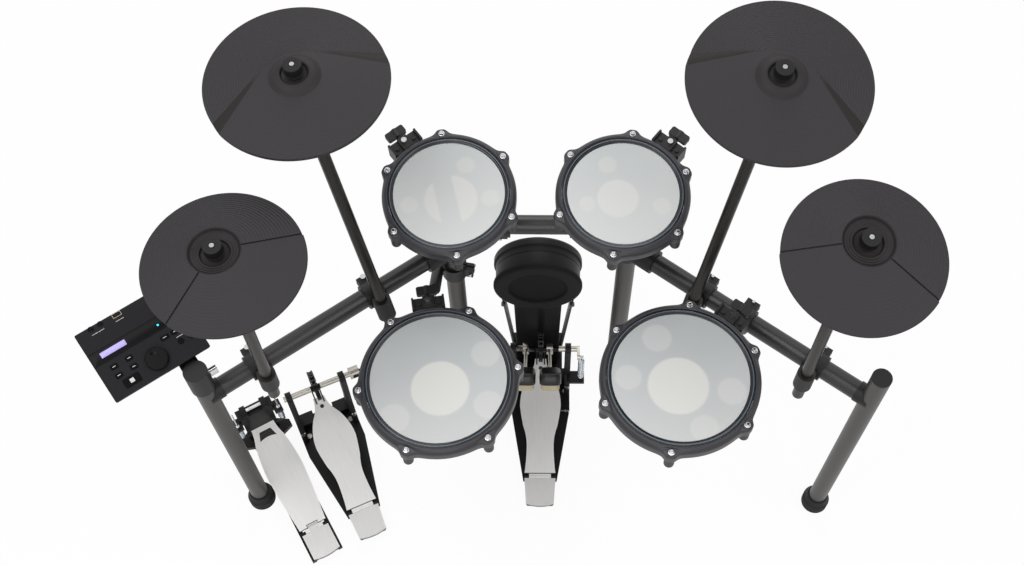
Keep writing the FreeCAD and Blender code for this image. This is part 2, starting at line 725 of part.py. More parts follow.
def bevel_room(side):
    """Space under the bevel along one edge of the raised sector.

    The edge runs from the rim to touch the skirt round the bell, and the bevel widens towards the rim."""
    half = math.radians(SECTOR_ANGLE / 2)
    touch = half + math.acos(SKIRT_RADIUS / CRASH_RADIUS)
    radial = V(math.cos(touch), side * math.sin(touch), 0)
    root = radial * SKIRT_RADIUS + UP * crash_height(SKIRT_RADIUS)
    edge = V(CRASH_RADIUS * math.cos(half), side * CRASH_RADIUS * math.sin(half), CRASH_EDGE / 2)
    along = unit(edge + UP * SECTOR_RISE - root)
    up_way = along.cross(edge + radial * BEVEL_WIDTH - root)
    up_way = unit(up_way * math.copysign(1.0, up_way.z))
    reach = 4 * CRASH_RADIUS
    return placed(block((reach, reach, reach), (0, 0, -reach / 2)), frame_on(root, along, up_way))


def crash_cymbal(heading):
    """Bowed disc with a bell dome and a raised front sector between two bevelled steps."""
    shoulder = (BELL_RADIUS + HUB_RADIUS) / 2
    under = CRASH_TOP - CRASH_WALL
    items = hub_items(CRASH_PIVOT) + [(HUB_RADIUS, under + BELL_HEIGHT)]
    items += [((shoulder, under + BELL_HEIGHT * 0.86), (BELL_RADIUS, under))]
    items += [(CRASH_RADIUS, -CRASH_EDGE / 2), (CRASH_RADIUS, CRASH_EDGE / 2), (BELL_RADIUS, CRASH_TOP)]
    items += [((shoulder, CRASH_TOP + BELL_HEIGHT * 0.8), hub_top(CRASH_PIVOT)[0])] + hub_top(CRASH_PIVOT)[1:]
    skirt = crash_height(SKIRT_RADIUS)
    rim = CRASH_RADIUS + FREE_GAP
    raised = lathe([(SKIRT_RADIUS, skirt - CRASH_WALL / 2), (rim, 0), (rim, CRASH_EDGE / 2 + SECTOR_RISE),
                    (SKIRT_RADIUS, skirt)])
    raised = raised.common(bevel_room(-1)).common(bevel_room(1))
    return fused([lathe(items), turned(raised, heading)])


def skew_cone(foot_radius, foot_centre, top_radius, top_centre):
    """Solid between two level circles that need not share an axis."""
    foot = Part.Wire(Part.makeCircle(foot_radius, foot_centre, UP))
    top = Part.Wire(Part.makeCircle(top_radius, top_centre, UP))
    return Part.makeLoft([foot, top], True, True)


def small_cymbal(heading):
    """Disc with a stepped cup round an off-centre hub and two slits that bound the front sector.

    The origin is on the hub's axis and the disc's centre lies ahead of it, along the heading."""
    ahead = math.radians(heading)
    centre = V(HUB_SHIFT * math.cos(ahead), HUB_SHIFT * math.sin(ahead), 0)
    edge = UP * (SPLASH_EDGE / 2)
    under = SPLASH_TOP - SPLASH_WALL
    rim = cyl(SPLASH_RADIUS, centre - edge, UP, SPLASH_EDGE)
    crown = skew_cone(SPLASH_RADIUS, centre + edge, CUP_RADIUS, UP * SPLASH_TOP)
    hollow = skew_cone(SPLASH_RADIUS - SPLASH_WALL, centre - edge, CUP_RADIUS, UP * under)
    cup_room = cyl(CUP_RADIUS, V(0, 0, -SPLASH_TOP), UP, 3 * SPLASH_TOP)
    disc = rim.fuse(crown).cut([hollow, cup_room])
    items = hub_items(SPLASH_PIVOT) + [(HUB_RADIUS, CUP_FLOOR - SPLASH_WALL)]
    items += [(CUP_RADIUS - 2 * CUP_STEP_WIDTH, CUP_FLOOR - SPLASH_WALL), (CUP_RADIUS, under)]
    items += [(CUP_RADIUS, SPLASH_TOP)]
    for i in range(3):
        radius = CUP_RADIUS - CUP_STEP_WIDTH * i
        level = SPLASH_TOP - CUP_STEP * (i + 1)
        items += [(radius - CUP_STEP, level), (radius - CUP_STEP_WIDTH, level)]
    items[-1] = hub_top(SPLASH_PIVOT)[0]
    items += hub_top(SPLASH_PIVOT)[1:]
    slits = []
    for turn in (-SLIT_SECTOR / 2, SLIT_SECTOR / 2):
        swing = math.radians(turn)
        aside = HUB_SHIFT * math.sin(swing)
        reach = HUB_SHIFT * math.cos(swing) + sphere_z(SPLASH_RADIUS, aside)
        start = CUP_RADIUS + 1
        side = [(start, SPLASH_TOP - SLIT_DEPTH), (reach + 1, SPLASH_EDGE / 2 - SLIT_DEPTH),
                (reach + 1, 2 * SPLASH_TOP), (start, 2 * SPLASH_TOP)]
        face = Part.Face(closed_wire(side, lambda x, z: V(x, -SLIT_WIDTH / 2, z)))
        slits.append(turned(face.extrude(V(0, SLIT_WIDTH, 0)), heading + turn))
    return fused([disc, lathe(items)]).cut(slits)


def cymbal_cap(pivot):
    """Straight screw cap whose hollow foot follows the hub's crown."""
    hollow = HUB_TOP_RADIUS + FREE_GAP
    bore = STEM_RADIUS + SEAT_GAP
    half = (bore + CAP_RADIUS) / 2
    foot = pivot + sphere_z(hollow, CAP_RADIUS)
    return lathe([(bore, pivot + sphere_z(hollow, bore)),
                  ((half, pivot + sphere_z(hollow, half)), (CAP_RADIUS, foot)),
                  (CAP_RADIUS - CAP_BEVEL, foot + CAP_HEIGHT - CAP_BEVEL),
                  (CAP_RADIUS - 2 * CAP_BEVEL, foot + CAP_HEIGHT), (bore, foot + CAP_HEIGHT)])


cymbal_pivots = {}
cymbals = (("left_crash", LEFT_CRASH, CRASH_PIVOT, crash_cymbal, 0.0),
           ("right_crash", RIGHT_CRASH, CRASH_PIVOT, crash_cymbal, 0.0),
           ("hihat_cymbal", HIHAT_CYMBAL, SPLASH_PIVOT, small_cymbal, HUB_SHIFT),
           ("right_cymbal", RIGHT_CYMBAL, SPLASH_PIVOT, small_cymbal, HUB_SHIFT))
for name, (x, y, z, tilt, heading), pivot, shape, shift in cymbals:
    ahead = math.radians(heading)
    frame = local_frame((x, y, z), 0.0, tilt)
    frame.Base = frame.multVec(V(-shift * math.cos(ahead), -shift * math.sin(ahead), 0))
    normal = frame.Rotation.multVec(UP)
    centre = frame.multVec(V(0, 0, pivot))
    cymbal_pivots[name] = centre
    add(name, placed(shape(heading), frame))
    add("cymbal_caps", placed(cymbal_cap(pivot), frame))
    side = -1 if x < 0 else 1
    knuckle = centre - normal * STEM_DROP
    along = (knuckle - bar_lines[side]).dot(bar_ways[side])
    grip = bar_lines[side] + bar_ways[side] * along
    hold = grip + player_ways[side] * ARM_OFFSET
    lean = unit(knuckle - hold)
    hinge = unit(lean.cross(normal)) if lean.cross(normal).Length > 1e-3 else bar_ways[side]
    tail = hold - lean * ARM_TAIL
    socket = cyl(KNUCKLE_RADIUS + SEAT_GAP, knuckle - hinge * KNUCKLE_WIDTH, hinge, 2 * KNUCKLE_WIDTH)
    arm = cyl(ARM_RADIUS, tail, lean, (knuckle - tail).Length).cut(socket)
    add("cymbal_arms", arm.Solids[0])
    cap_top = pivot + sphere_z(HUB_TOP_RADIUS + FREE_GAP, CAP_RADIUS) + CAP_HEIGHT
    stem_top = frame.multVec(V(0, 0, cap_top + STEM_TIP))
    stem = [cyl(KNUCKLE_RADIUS, knuckle - hinge * (KNUCKLE_WIDTH / 2), hinge, KNUCKLE_WIDTH),
            cyl(STEM_NECK_RADIUS, knuckle, normal, STEM_DROP),
            Part.makeSphere(BALL_RADIUS, centre),
            cyl(STEM_RADIUS, knuckle, normal, (stem_top - knuckle).Length)]
    add("cymbal_stems", fused(stem))
    clamp, screw = pipe_clamp(grip, bar_ways[side], TUBE_RADIUS, hold, lean, ARM_RADIUS)
    add("bar_clamps", clamp)
    add("clamp_bolts", screw)


# Pads: a shell with lugs and a rod bracket, a mesh head over its edge, and a hoop drawn down by key bolts.
def pad_shapes(head_radius, sensor_radius, first_lug, bracket_heading):
    """Solids of one pad in its own frame, with the head's surface at z = 0."""
    lap = head_radius + HEAD_LAP
    rim = head_radius + HOOP_RIM
    lug_top = -HOOP_SKIRT - LUG_GAP
    floor = -SHELL_DEPTH
    head = lathe([(0, -HEAD_THICKNESS), (lap, -HEAD_THICKNESS), (lap, 0), (0, 0)])
    hoop_ring = lathe([(head_radius, FREE_GAP), (head_radius, HOOP_TOP - HOOP_ROUND),
                       (head_radius + HOOP_LIP, HOOP_TOP), (head_radius + HOOP_CROWN, HOOP_TOP),
                       (rim, -HOOP_TOP), (rim, -HOOP_SKIRT),
                       (rim - HOOP_WALL, -HOOP_SKIRT), (rim - HOOP_WALL, -HOOP_TOP - HOOP_WALL),
                       (lap + HOOP_EASE, -HOOP_TOP), (lap + HOOP_EASE, FREE_GAP)])
    shell_wall = lathe([(0, floor), (lap, floor), (lap, -HEAD_THICKNESS), (lap - SHELL_WALL, -HEAD_THICKNESS),
                        (lap - SHELL_WALL, floor + SHELL_FLOOR), (0, floor + SHELL_FLOOR)])
    sensor = lathe([(0, floor + SHELL_FLOOR), (SENSOR_STEM, floor + SHELL_FLOOR),
                    (SENSOR_STEM, -SENSOR_DROP - SENSOR_PLATE), (sensor_radius, -SENSOR_DROP - SENSOR_PLATE),
                    (sensor_radius, -SENSOR_DROP), (0, -SENSOR_DROP)])
    hoop_parts = [hoop_ring]
    shell_parts = [shell_wall]
    hoop_cuts = []
    shell_cuts = []
    bolts = []
    seat = -KEY_FLANGE
    for i in range(LUG_COUNT):
        angle = first_lug + 360.0 / LUG_COUNT * i
        at = V(rim, 0, 0)
        lobe = plate([(rim - HOOP_WALL, -EAR_ROOT / 2), (rim + 1, -EAR_RADIUS), (rim + 1, EAR_RADIUS),
                      (rim - HOOP_WALL, EAR_ROOT / 2)], -HOOP_SKIRT, HOOP_SKIRT - HOOP_TOP)
        ear = cyl(EAR_RADIUS, at - UP * HOOP_SKIRT, UP, HOOP_SKIRT)
        lug = cyl(LUG_RADIUS, at + UP * floor, UP, lug_top - floor)
        web = block((rim - lap + SHELL_WALL, LUG_WEB, (lug_top - floor) * 0.6),
                    ((rim + lap - SHELL_WALL) / 2, 0, (lug_top + floor) / 2))
        key = fused([cyl(KEY_FLANGE_RADIUS, at + UP * seat, UP, KEY_FLANGE),
                     cyl(KEY_HEAD_RADIUS, at + UP * seat, UP, KEY_FLANGE + KEY_HEAD_HEIGHT),
                     cyl(KEY_ROD_RADIUS, at + UP * (floor + SHELL_FLOOR), UP, seat - floor - SHELL_FLOOR)])
        hole = cyl(KEY_ROD_RADIUS + SEAT_GAP, at + UP * (floor + SHELL_FLOOR), UP, SHELL_DEPTH)
        sink = cyl(KEY_FLANGE_RADIUS + SEAT_GAP, at + UP * seat, UP, HOOP_SKIRT)
        hoop_parts += [turned(lobe, angle), turned(ear, angle)]
        hoop_cuts += [turned(hole, angle), turned(sink, angle)]
        shell_parts += [turned(lug, angle), turned(web, angle)]
        shell_cuts.append(turned(hole, angle))
        bolts.append(turned(key, angle))
    inside_room = cyl(lap + HOOP_EASE, V(0, 0, -HOOP_SKIRT - 1), UP, HOOP_SKIRT + 1 + FREE_GAP)
    skirt_room = cyl(rim - HOOP_WALL, V(0, 0, -HOOP_SKIRT - 1), UP, HOOP_SKIRT + 1 - HOOP_TOP - HOOP_WALL)
    hoop = fused(hoop_parts).cut(hoop_cuts + [inside_room, skirt_room])

    rod_at = rim + ROD_STANDOFF
    near = rim + BRACKET_GAP
    far = rod_at + BRACKET_TAIL
    depth = SHELL_DEPTH - SHELL_FLOOR
    body_z = -(BRACKET_TOP + depth) / 2
    arm = block((far - lap + SHELL_WALL, BRACKET_SPAN, depth + lug_top),
                ((far + lap - SHELL_WALL) / 2, 0, (lug_top - depth) / 2))
    ledge = block((far - near, BRACKET_SPAN, depth - BRACKET_ARM_TOP),
                  ((far + near) / 2, 0, -(depth + BRACKET_ARM_TOP) / 2))
    body = block((far - near, BRACKET_WIDTH, depth - BRACKET_TOP), ((far + near) / 2, 0, body_z))
    bracket = [arm, ledge, body]
    for s in (-1, 1):
        cheek = block((far - near, BRACKET_CHEEK, depth - BRACKET_TOP),
                      ((far + near) / 2, s * (BRACKET_SPAN - BRACKET_CHEEK) / 2, body_z))
        bracket.append(cheek)
        screw_at = V((rim + far) / 2, s * BRACKET_SCREW_X, -BRACKET_ARM_TOP)
        bracket.append(cyl(BRACKET_SCREW_RADIUS, screw_at, UP, BRACKET_SCREW_HEIGHT))
    rod_hole = cyl(PAD_ROD_RADIUS + RUNNING_GAP, V(rod_at, 0, -2 * SHELL_DEPTH), UP, 3 * SHELL_DEPTH)
    wing_start = V(rod_at + PAD_ROD_RADIUS + FREE_GAP, 0, body_z)
    out = V(1, 0, 0)
    wing_hole = cyl(WING_SHANK_RADIUS + SEAT_GAP, wing_start, out, BRACKET_TAIL)
    hub_at = V(far + WING_REACH, 0, body_z)
    tip = hub_at.x + WING_HUB_LENGTH
    wings = round_block(WING_HUB_LENGTH, WING_SPAN, WING_CORNER, body_z - WING_THICKNESS / 2, WING_THICKNESS)
    wing = fused([cyl(WING_SHANK_RADIUS, wing_start, out, (hub_at.x + tip) / 2 - wing_start.x),
                  cyl(WING_HUB_RADIUS, hub_at, out, WING_HUB_LENGTH),
                  placed(wings, local_frame(((hub_at.x + tip) / 2, 0, 0)))])
    shell_parts += [turned(s, bracket_heading) for s in bracket]
    shell_cuts += [turned(s, bracket_heading) for s in (rod_hole, wing_hole)]
    bore = lap - SHELL_WALL
    inside = lathe([(0, floor + SHELL_FLOOR), (bore, floor + SHELL_FLOOR), (bore, 1), (0, 1)])
    shell = fused(shell_parts).cut(shell_cuts + [inside])
    return [shell, sensor, turned(wing, bracket_heading)], [hoop] + bolts, head, rod_at


def bent_rod(top, bend, end):
    """Round rod down from its top to a bend and on to its end, with a tangent arc at the bend."""
    down = unit(bend - top)
    on = unit(end - bend)
    turn = math.acos(down.dot(on))
    trim = ROD_BEND * math.tan(turn / 2)
    first = bend - down * trim
    second = bend + on * trim
    centre = first + unit(on - down * on.dot(down)) * ROD_BEND
    crown = centre + unit(bend - centre) * ROD_BEND
    path = Part.Wire([Part.LineSegment(top, first).toShape(), Part.Arc(first, crown, second).toShape(),
                      Part.LineSegment(second, end).toShape()])
    ring = Part.Wire(Part.makeCircle(PAD_ROD_RADIUS, top, down))
    return path.makePipeShell([ring], True, False)


pads = (("left_tom", LEFT_TOM, SMALL_HEAD_RADIUS, SENSOR_SHARE_SMALL),
        ("right_tom", RIGHT_TOM, SMALL_HEAD_RADIUS, SENSOR_SHARE_SMALL),
        ("snare", SNARE, LARGE_HEAD_RADIUS, SENSOR_SHARE_LARGE),
        ("floor_tom", FLOOR_TOM, LARGE_HEAD_RADIUS, SENSOR_SHARE_LARGE))
pad_rod_lines = {}
for name, (x, y, z, tilt, lug, bracket), head_radius, sensor_radius in pads:
    frame = local_frame((x, y, z), 0.0, tilt)
    normal = frame.Rotation.multVec(UP)
    shells, hoops, head, rod_at = pad_shapes(head_radius, sensor_radius, lug, bracket)
    add(name + "_shell", [placed(s, frame) for s in shells])
    add(name + "_hoop", [placed(s, frame) for s in hoops])
    add(name + "_head", placed(head, frame))
    spread = math.radians(bracket)
    rod_top = frame.multVec(V(rod_at * math.cos(spread), rod_at * math.sin(spread), ROD_TIP - BRACKET_TOP))
    pad_rod_lines[name] = (rod_top, normal)
    side = -1 if x < 0 else 1
    if name == "floor_tom":
        rod_end = rod_top - normal * ((rod_top.z - FLOOR_ROD_END) / normal.z)
        add("pad_rods", cyl(PAD_ROD_RADIUS, rod_end, normal, (rod_top - rod_end).Length))
        level = rod_top - normal * ((rod_top.z - SIDE_BAR_Z) / normal.z)
        grip = bar_lines[side] + bar_ways[side] * (level - bar_lines[side]).dot(bar_ways[side])
        clamp, screw = pipe_clamp(grip, bar_ways[side], TUBE_RADIUS, level, normal, PAD_ROD_RADIUS)
    else:
        if name == "snare":
            grip = inner_posts[side] + UP * SNARE_CLAMP_Z
            grip_way = UP
            bend = rod_top - normal * ((rod_top.z - SNARE_BEND_Z) / normal.z)
            aside = unit(unit(grip - bend).cross(UP)) * -1
            hold = grip + aside * SNARE_ROD_OFFSET
            back = SNARE_BOSS_BACK
        else:
            grip_way = X_WAY
            grip = V(side * TOM_CLAMP_X, INNER_POST_Y, REAR_BAR_Z)
            back = CLAMP_BOSS_LENGTH / 2
            hold = grip + UP * ROD_ABOVE_BAR
            bend = rod_top - normal * ((rod_top.z - hold.z) / normal.z)
        leg = unit(hold - bend)
        add("pad_rods", bent_rod(rod_top, bend, hold + leg * ROD_OVERRUN))
        clamp, screw = pipe_clamp(grip, grip_way, TUBE_RADIUS, hold, leg, PAD_ROD_RADIUS, back)
    add("bar_clamps", clamp)
    add("clamp_bolts", screw)


# Kick pad: a short drum lying on its side on a tapered tower, with a rubber face and side braces.
axle_y = BASE_LENGTH - AXLE_FROM_TOE
kick_face_y = MAIN_PEDAL[1] + axle_y + KICK_FACE_FROM_AXLE
kick_plate_front = MAIN_PEDAL[1] + BASE_LENGTH + KICK_PLATE_GAP
kick_frame = frame_on(V(KICK_X, kick_face_y, KICK_Z), X_WAY, V(0, 1, 0))
face_back = KICK_RECESS + KICK_PAD_THICKNESS
seat_radius = KICK_WAIST_RADIUS - KICK_SEAT_STEP
kick_face = lathe([(0, KICK_RECESS), (KICK_RECESS_RADIUS - KICK_RECESS / 3, KICK_RECESS),
                   (KICK_RECESS_RADIUS, 0), (KICK_RADIUS - KICK_BEVEL, 0), (KICK_RADIUS, KICK_BEVEL),
                   (KICK_RADIUS, KICK_RING_DEPTH),
                   (seat_radius, KICK_RING_DEPTH), (seat_radius, face_back), (0, face_back)])
rim_start = KICK_LENGTH - KICK_RIM_DEPTH
kick_drum = lathe([(0, face_back), (seat_radius + SEAT_GAP, face_back),
                   (seat_radius + SEAT_GAP, KICK_RING_DEPTH), (KICK_WAIST_RADIUS, KICK_RING_DEPTH),
                   (KICK_WAIST_RADIUS, rim_start),
                   (KICK_RADIUS, rim_start), (KICK_RADIUS, KICK_LENGTH - KICK_BEVEL),
                   (KICK_RADIUS - KICK_BEVEL, KICK_LENGTH), (0, KICK_LENGTH)])
kick_drum = placed(kick_drum, kick_frame)
add("kick_face", placed(kick_face, kick_frame))
add("kick_drum", kick_drum)
tower_front = kick_face_y + KICK_RING_DEPTH + 1
tower_base = KICK_PLATE_THICKNESS
drum_core = cyl(KICK_WAIST_RADIUS, kick_frame.Base, V(0, 1, 0), KICK_LENGTH)


def tower_loft(inset, front, back):
    """Upright body that widens from the tower's foot to its top, drawn in at the sides."""
    wires = []
    for z, width in ((tower_base, TOWER_FOOT_WIDTH), (KICK_Z, TOWER_TOP_WIDTH)):
        half = width / 2 - inset
        corners = [(-half, front), (half, front), (half, back), (-half, back)]
        wires.append(closed_wire(corners, lambda x, y: V(KICK_X + x, y, z)))
    return Part.makeLoft(wires, True, True)


channel = tower_loft(TOWER_WALL, tower_front + TOWER_WALL, tower_front + 2 * TOWER_DEPTH)
kick_tower = tower_loft(0.0, tower_front, tower_front + TOWER_DEPTH)
kick_tower = kick_tower.cut([kick_drum, drum_core, channel]).Solids
kick_tower = min(kick_tower, key=lambda s: s.CenterOfMass.z)
plate_depth = kick_face_y + KICK_PLATE_BACK - kick_plate_front
foot = block((KICK_PLATE_WIDTH, plate_depth, KICK_PLATE_THICKNESS),
             (KICK_X, kick_plate_front + plate_depth / 2, KICK_PLATE_THICKNESS / 2))
add("kick_tower", fused([kick_tower, foot]))
brace_y = tower_front + TOWER_DEPTH / 2
for side in (-1, 1):
    low = V(KICK_X + side * BRACE_FOOT_X, brace_y, tower_base)
    high = V(KICK_X + side * BRACE_TOP_X, brace_y, BRACE_TOP_Z)
    run = high - low
    slope = frame_on(low, unit(run), V(0, side, 0).cross(unit(run)) * side)
    strip = placed(block((2 * run.Length, BRACE_WIDTH, BRACE_THICKNESS), (0.4 * run.Length, 0, 0)), slope)
    floor_room = block((KICK_PLATE_WIDTH * 2, KICK_PLATE_WIDTH * 2, KICK_PLATE_WIDTH * 2),
                       (KICK_X, brace_y, tower_base - KICK_PLATE_WIDTH))
    strip = strip.cut([kick_drum, drum_core, floor_room]).Solids
    strip = min(strip, key=lambda s: s.CenterOfMass.z)
    add("kick_braces", strip)
    ahead = V(0, -1, 0)
    knob = cyl(KNOB_RADIUS, high - run * 0.12 - V(0, BRACE_WIDTH / 2, 0), ahead, KNOB_LENGTH)
    add("kick_braces", knob)


# Kick pedals: floor plate with towers, heel rest, hinged footboard, axle with cam, chain and beaters.
def pedal_frame(pedal):
    """Placement of a pedal on the floor."""
    return local_frame((pedal[0], pedal[1], 0.0), pedal[2])


def mirrored_outline(right):
    """Closed outline from its right-hand side of (start, arcs) items, mirrored down the left."""
    points = [right[0]] + [item[1] for item in right[1:]]
    left = [(-points[-1][0], points[-1][1])]
    for (crown, _), point in zip(reversed(right[1:]), reversed(points[:-1])):
        left.append(((-crown[0], crown[1]), (-point[0], point[1])))
    return right + left


def hinge_eyes(width, gap=0.0):
    """Pair of hinge eyes on legs, with the pin between them, which may be split by a gap."""
    parts = []
    for s in (-1, 1):
        x = s * (width - HINGE_BLOCK) / 2
        parts.append(cyl(HINGE_PIN_RADIUS, V(s * gap / 2, HINGE_Y, HINGE_Z), X_WAY * s, (width - gap) / 2))
        parts.append(cyl(HINGE_RADIUS, V(x - HINGE_BLOCK / 2, HINGE_Y, HINGE_Z), X_WAY, HINGE_BLOCK))
        parts.append(block((HINGE_BLOCK, 2 * HINGE_RADIUS, HINGE_Z), (x, HINGE_Y, HINGE_Z / 2)))
    return parts


def hinged(board, width):
    """Board in its own frame with a bored knuckle between the hinge eyes."""
    knuckle = width - 2 * HINGE_BLOCK - 2 * FREE_GAP
    barrel = cyl(HINGE_RADIUS, V(-knuckle / 2, 0, 0), X_WAY, knuckle)
    tongue = block((knuckle, BOARD_START + 1, BOARD_THICKNESS), (0, (BOARD_START + 1) / 2, 0))
    bore = cyl(HINGE_PIN_RADIUS + RUNNING_GAP, V(-width, 0, 0), X_WAY, 2 * width)
    return fused([board, barrel, tongue]).cut(bore)


heel_front = HINGE_Y - HINGE_RADIUS - FREE_GAP
heel_rear = heel_front - HEEL_PLATE_LENGTH
heel_riser = block((HEEL_REAR_WIDTH - 4, HEEL_PLATE_LENGTH - 4, HEEL_PLATE_Z),
                   (0, (heel_front + heel_rear) / 2, HEEL_PLATE_Z / 2))


def heel_plate(width):
    """Flat heel rest with a bowed rear edge."""
    rear = HEEL_REAR_WIDTH / 2
    outline = [(-rear, heel_rear), ((0, heel_rear - HEEL_BULGE), (rear, heel_rear)),
               (width / 2, heel_front), (-width / 2, heel_front)]
    return plate(outline, HEEL_PLATE_Z, HEEL_PLATE_THICKNESS)


def on_axle(x):
    """Point on the axle line of a kick pedal."""
    return V(x, axle_y, AXLE_Z)


def tower(x):
    """Upright that widens to its foot, rounded at the top round the axle bearing."""
    foot = TOWER_FOOT_LENGTH / 2
    neck = AXLE_Z * 0.45
    front, rear = axle_y - TOWER_ROUND, axle_y + TOWER_ROUND
    items = [(axle_y - foot, 0), (axle_y + foot, 0), (rear, neck), (rear, AXLE_Z),
             ((axle_y, AXLE_Z + TOWER_ROUND), (front, AXLE_Z)), (front, neck)]
    post = side_plate(items, x - TOWER_THICKNESS / 2, TOWER_THICKNESS)
    bearing = cyl(AXLE_RADIUS + RUNNING_GAP, on_axle(x - TOWER_THICKNESS), X_WAY, 2 * TOWER_THICKNESS)
    return post.cut(bearing)


def kick_base(shelves):
    """Tapered floor plate with a heel riser, hinge eyes and axle towers.

    The main pedal also has shelves for its beater springs and a jaw that grips the kick pad's plate."""
    rear = HEEL_REAR_WIDTH / 2 - BASE_HEEL_INSET
    heel = BASE_HEEL_WIDTH / 2
    toe = BASE_TOE_WIDTH / 2
    widens = BASE_LENGTH - BASE_TAPER_LENGTH
    right = [(rear, heel_rear + BASE_HEEL_INSET), (rear, heel_front - BASE_HEEL_INSET), (heel, heel_front),
             (toe, widens), (toe, BASE_LENGTH)]
    floor = plate(right + [(-x, y) for x, y in reversed(right)], 0, BASE_THICKNESS)
    parts = [floor, heel_riser, tower(-TOWER_X), tower(TOWER_X)] + hinge_eyes(BOARD_HEEL_WIDTH)
    stop = TOWER_X - TOE_BLOCK_INSIDE
    for s in (-1, 1):
        parts.append(block((stop, TOE_BLOCK_DEPTH, TOE_BLOCK_HEIGHT),
                           (s * (TOE_BLOCK_INSIDE + stop / 2), BASE_LENGTH - TOE_BLOCK_DEPTH / 2,
                            TOE_BLOCK_HEIGHT / 2)))
    reach = spring_line_x + SPRING_SHELF_WIDTH / 2 - TOWER_X
    depth = axle_y - spring_top.y + SPRING_SHELF_WIDTH / 2
    for s in shelves:
        parts.append(block((reach, depth, SPRING_SHELF), (s * (TOWER_X + reach / 2), axle_y - depth / 2,
                                                          SPRING_FOOT_Z - SPRING_SHELF / 2)))
    if shelves:
        jaw = 2 * JAW_REACH
        parts.append(block((JAW_WIDTH, jaw, JAW_HEIGHT),
                           (0, BASE_LENGTH, KICK_PLATE_THICKNESS + SEAT_GAP + JAW_HEIGHT / 2)))
    return fused(parts)


def dome_screws():
    """Pair of dome screws on the sloping front edges of the towers."""
    foot = TOWER_FOOT_LENGTH / 2
    slope = V(0, AXLE_Z * 0.45, TOWER_ROUND - foot)
    out = unit(V(0, -slope.y, -slope.z))
    at = V(0, axle_y - foot, 0) + V(0, foot - TOWER_ROUND, AXLE_Z * 0.45) * 0.5
    return [cyl(BOLT_HEAD_RADIUS, at + X_WAY * (s * TOWER_X), out, BOLT_HEAD_HEIGHT) for s in (-1, 1)]


def wing_bolt():
    """Wing bolt that stands on the main base beside the board."""
    at = V(WING_BOLT_X, BASE_LENGTH - WING_BOLT_FROM_TOE, BASE_THICKNESS)
    wings = block((WING_BOLT_SPAN, BOLT_RADIUS, WING_BOLT_HEIGHT / 2), (at.x, at.y, at.z + WING_BOLT_HEIGHT * 0.75))
    return fused([cyl(BOLT_RADIUS, at, UP, WING_BOLT_HEIGHT), wings])


def kick_footboard():
    """Brushed board with a waisted outline, a bolt hole at the tip, a heel knuckle and a chain yoke."""
    heel, waist, wide = BOARD_HEEL_WIDTH / 2, BOARD_WAIST_WIDTH / 2, BOARD_WIDEST / 2
    neck, tip = BOARD_NECK_WIDTH / 2, BOARD_TIP_WIDTH / 2
    length = yoke_reach - BOARD_TIP_BACK
    widest_at = length - BOARD_WIDEST_FROM_TIP
    neck_at = length - BOARD_NECK_FROM_TIP
    turn = (waist * 0.48 + wide * 0.52, (BOARD_WAIST_AT + widest_at) / 2)
    right = [(heel, BOARD_START),
             ((waist + (heel - waist) * 0.28, (BOARD_START + BOARD_WAIST_AT) / 2), (waist, BOARD_WAIST_AT)),
             ((waist * 0.86 + turn[0] * 0.14 + 0.6, (BOARD_WAIST_AT + turn[1]) / 2 - 1), turn),
             ((wide - 3.6, (turn[1] + widest_at) / 2 - 2), (wide, widest_at)),
             ((wide - 5.4, (widest_at + neck_at) / 2 + 4), (neck, neck_at)),
             (((neck + tip) / 2 - 2.4, (neck_at + length) / 2 - 4), (tip, length))]
    board = plate(mirrored_outline(right), -BOARD_THICKNESS / 2, BOARD_THICKNESS)
    hole_at = V(0, length - BOARD_HOLE_FROM_TIP, BOARD_THICKNESS / 2 - BOARD_HOLE_DEPTH)
    hole = cyl(BOARD_HOLE_RADIUS, hole_at, UP, BOARD_THICKNESS)
    root = length - YOKE_ROOT
    cheek = [(root, -YOKE_ROUND), (yoke_reach, -YOKE_ROUND),
             ((yoke_reach + YOKE_ROUND, 0), (yoke_reach, YOKE_ROUND)), (root, YOKE_ROUND)]
    yoke = [cyl(YOKE_PIN_RADIUS, V(-yoke_inside, yoke_reach, 0), X_WAY, 2 * yoke_inside)]
    yoke += [side_plate(cheek, x, YOKE_CHEEK) for x in (yoke_inside, -yoke_inside - YOKE_CHEEK)]
    return hinged(fused([board.cut(hole)] + yoke), BOARD_HEEL_WIDTH)


def cam():
    """Chain wheel on the axle with lightening holes on the side away from the chain."""
    wheel = cyl(CAM_RADIUS, V(0, 0, -CAM_WIDTH / 2), UP, CAM_WIDTH)
    middle = (CAM_RADIUS + AXLE_RADIUS) / 2
    hole = cyl(CAM_RADIUS / 5, V(middle, 0, -CAM_WIDTH), UP, 2 * CAM_WIDTH)
    holes = [turned(hole, angle) for angle in CAM_HOLE_ANGLES]
    return placed(wheel.cut(holes), frame_on(on_axle(0), V(0, 1, 0), X_WAY))


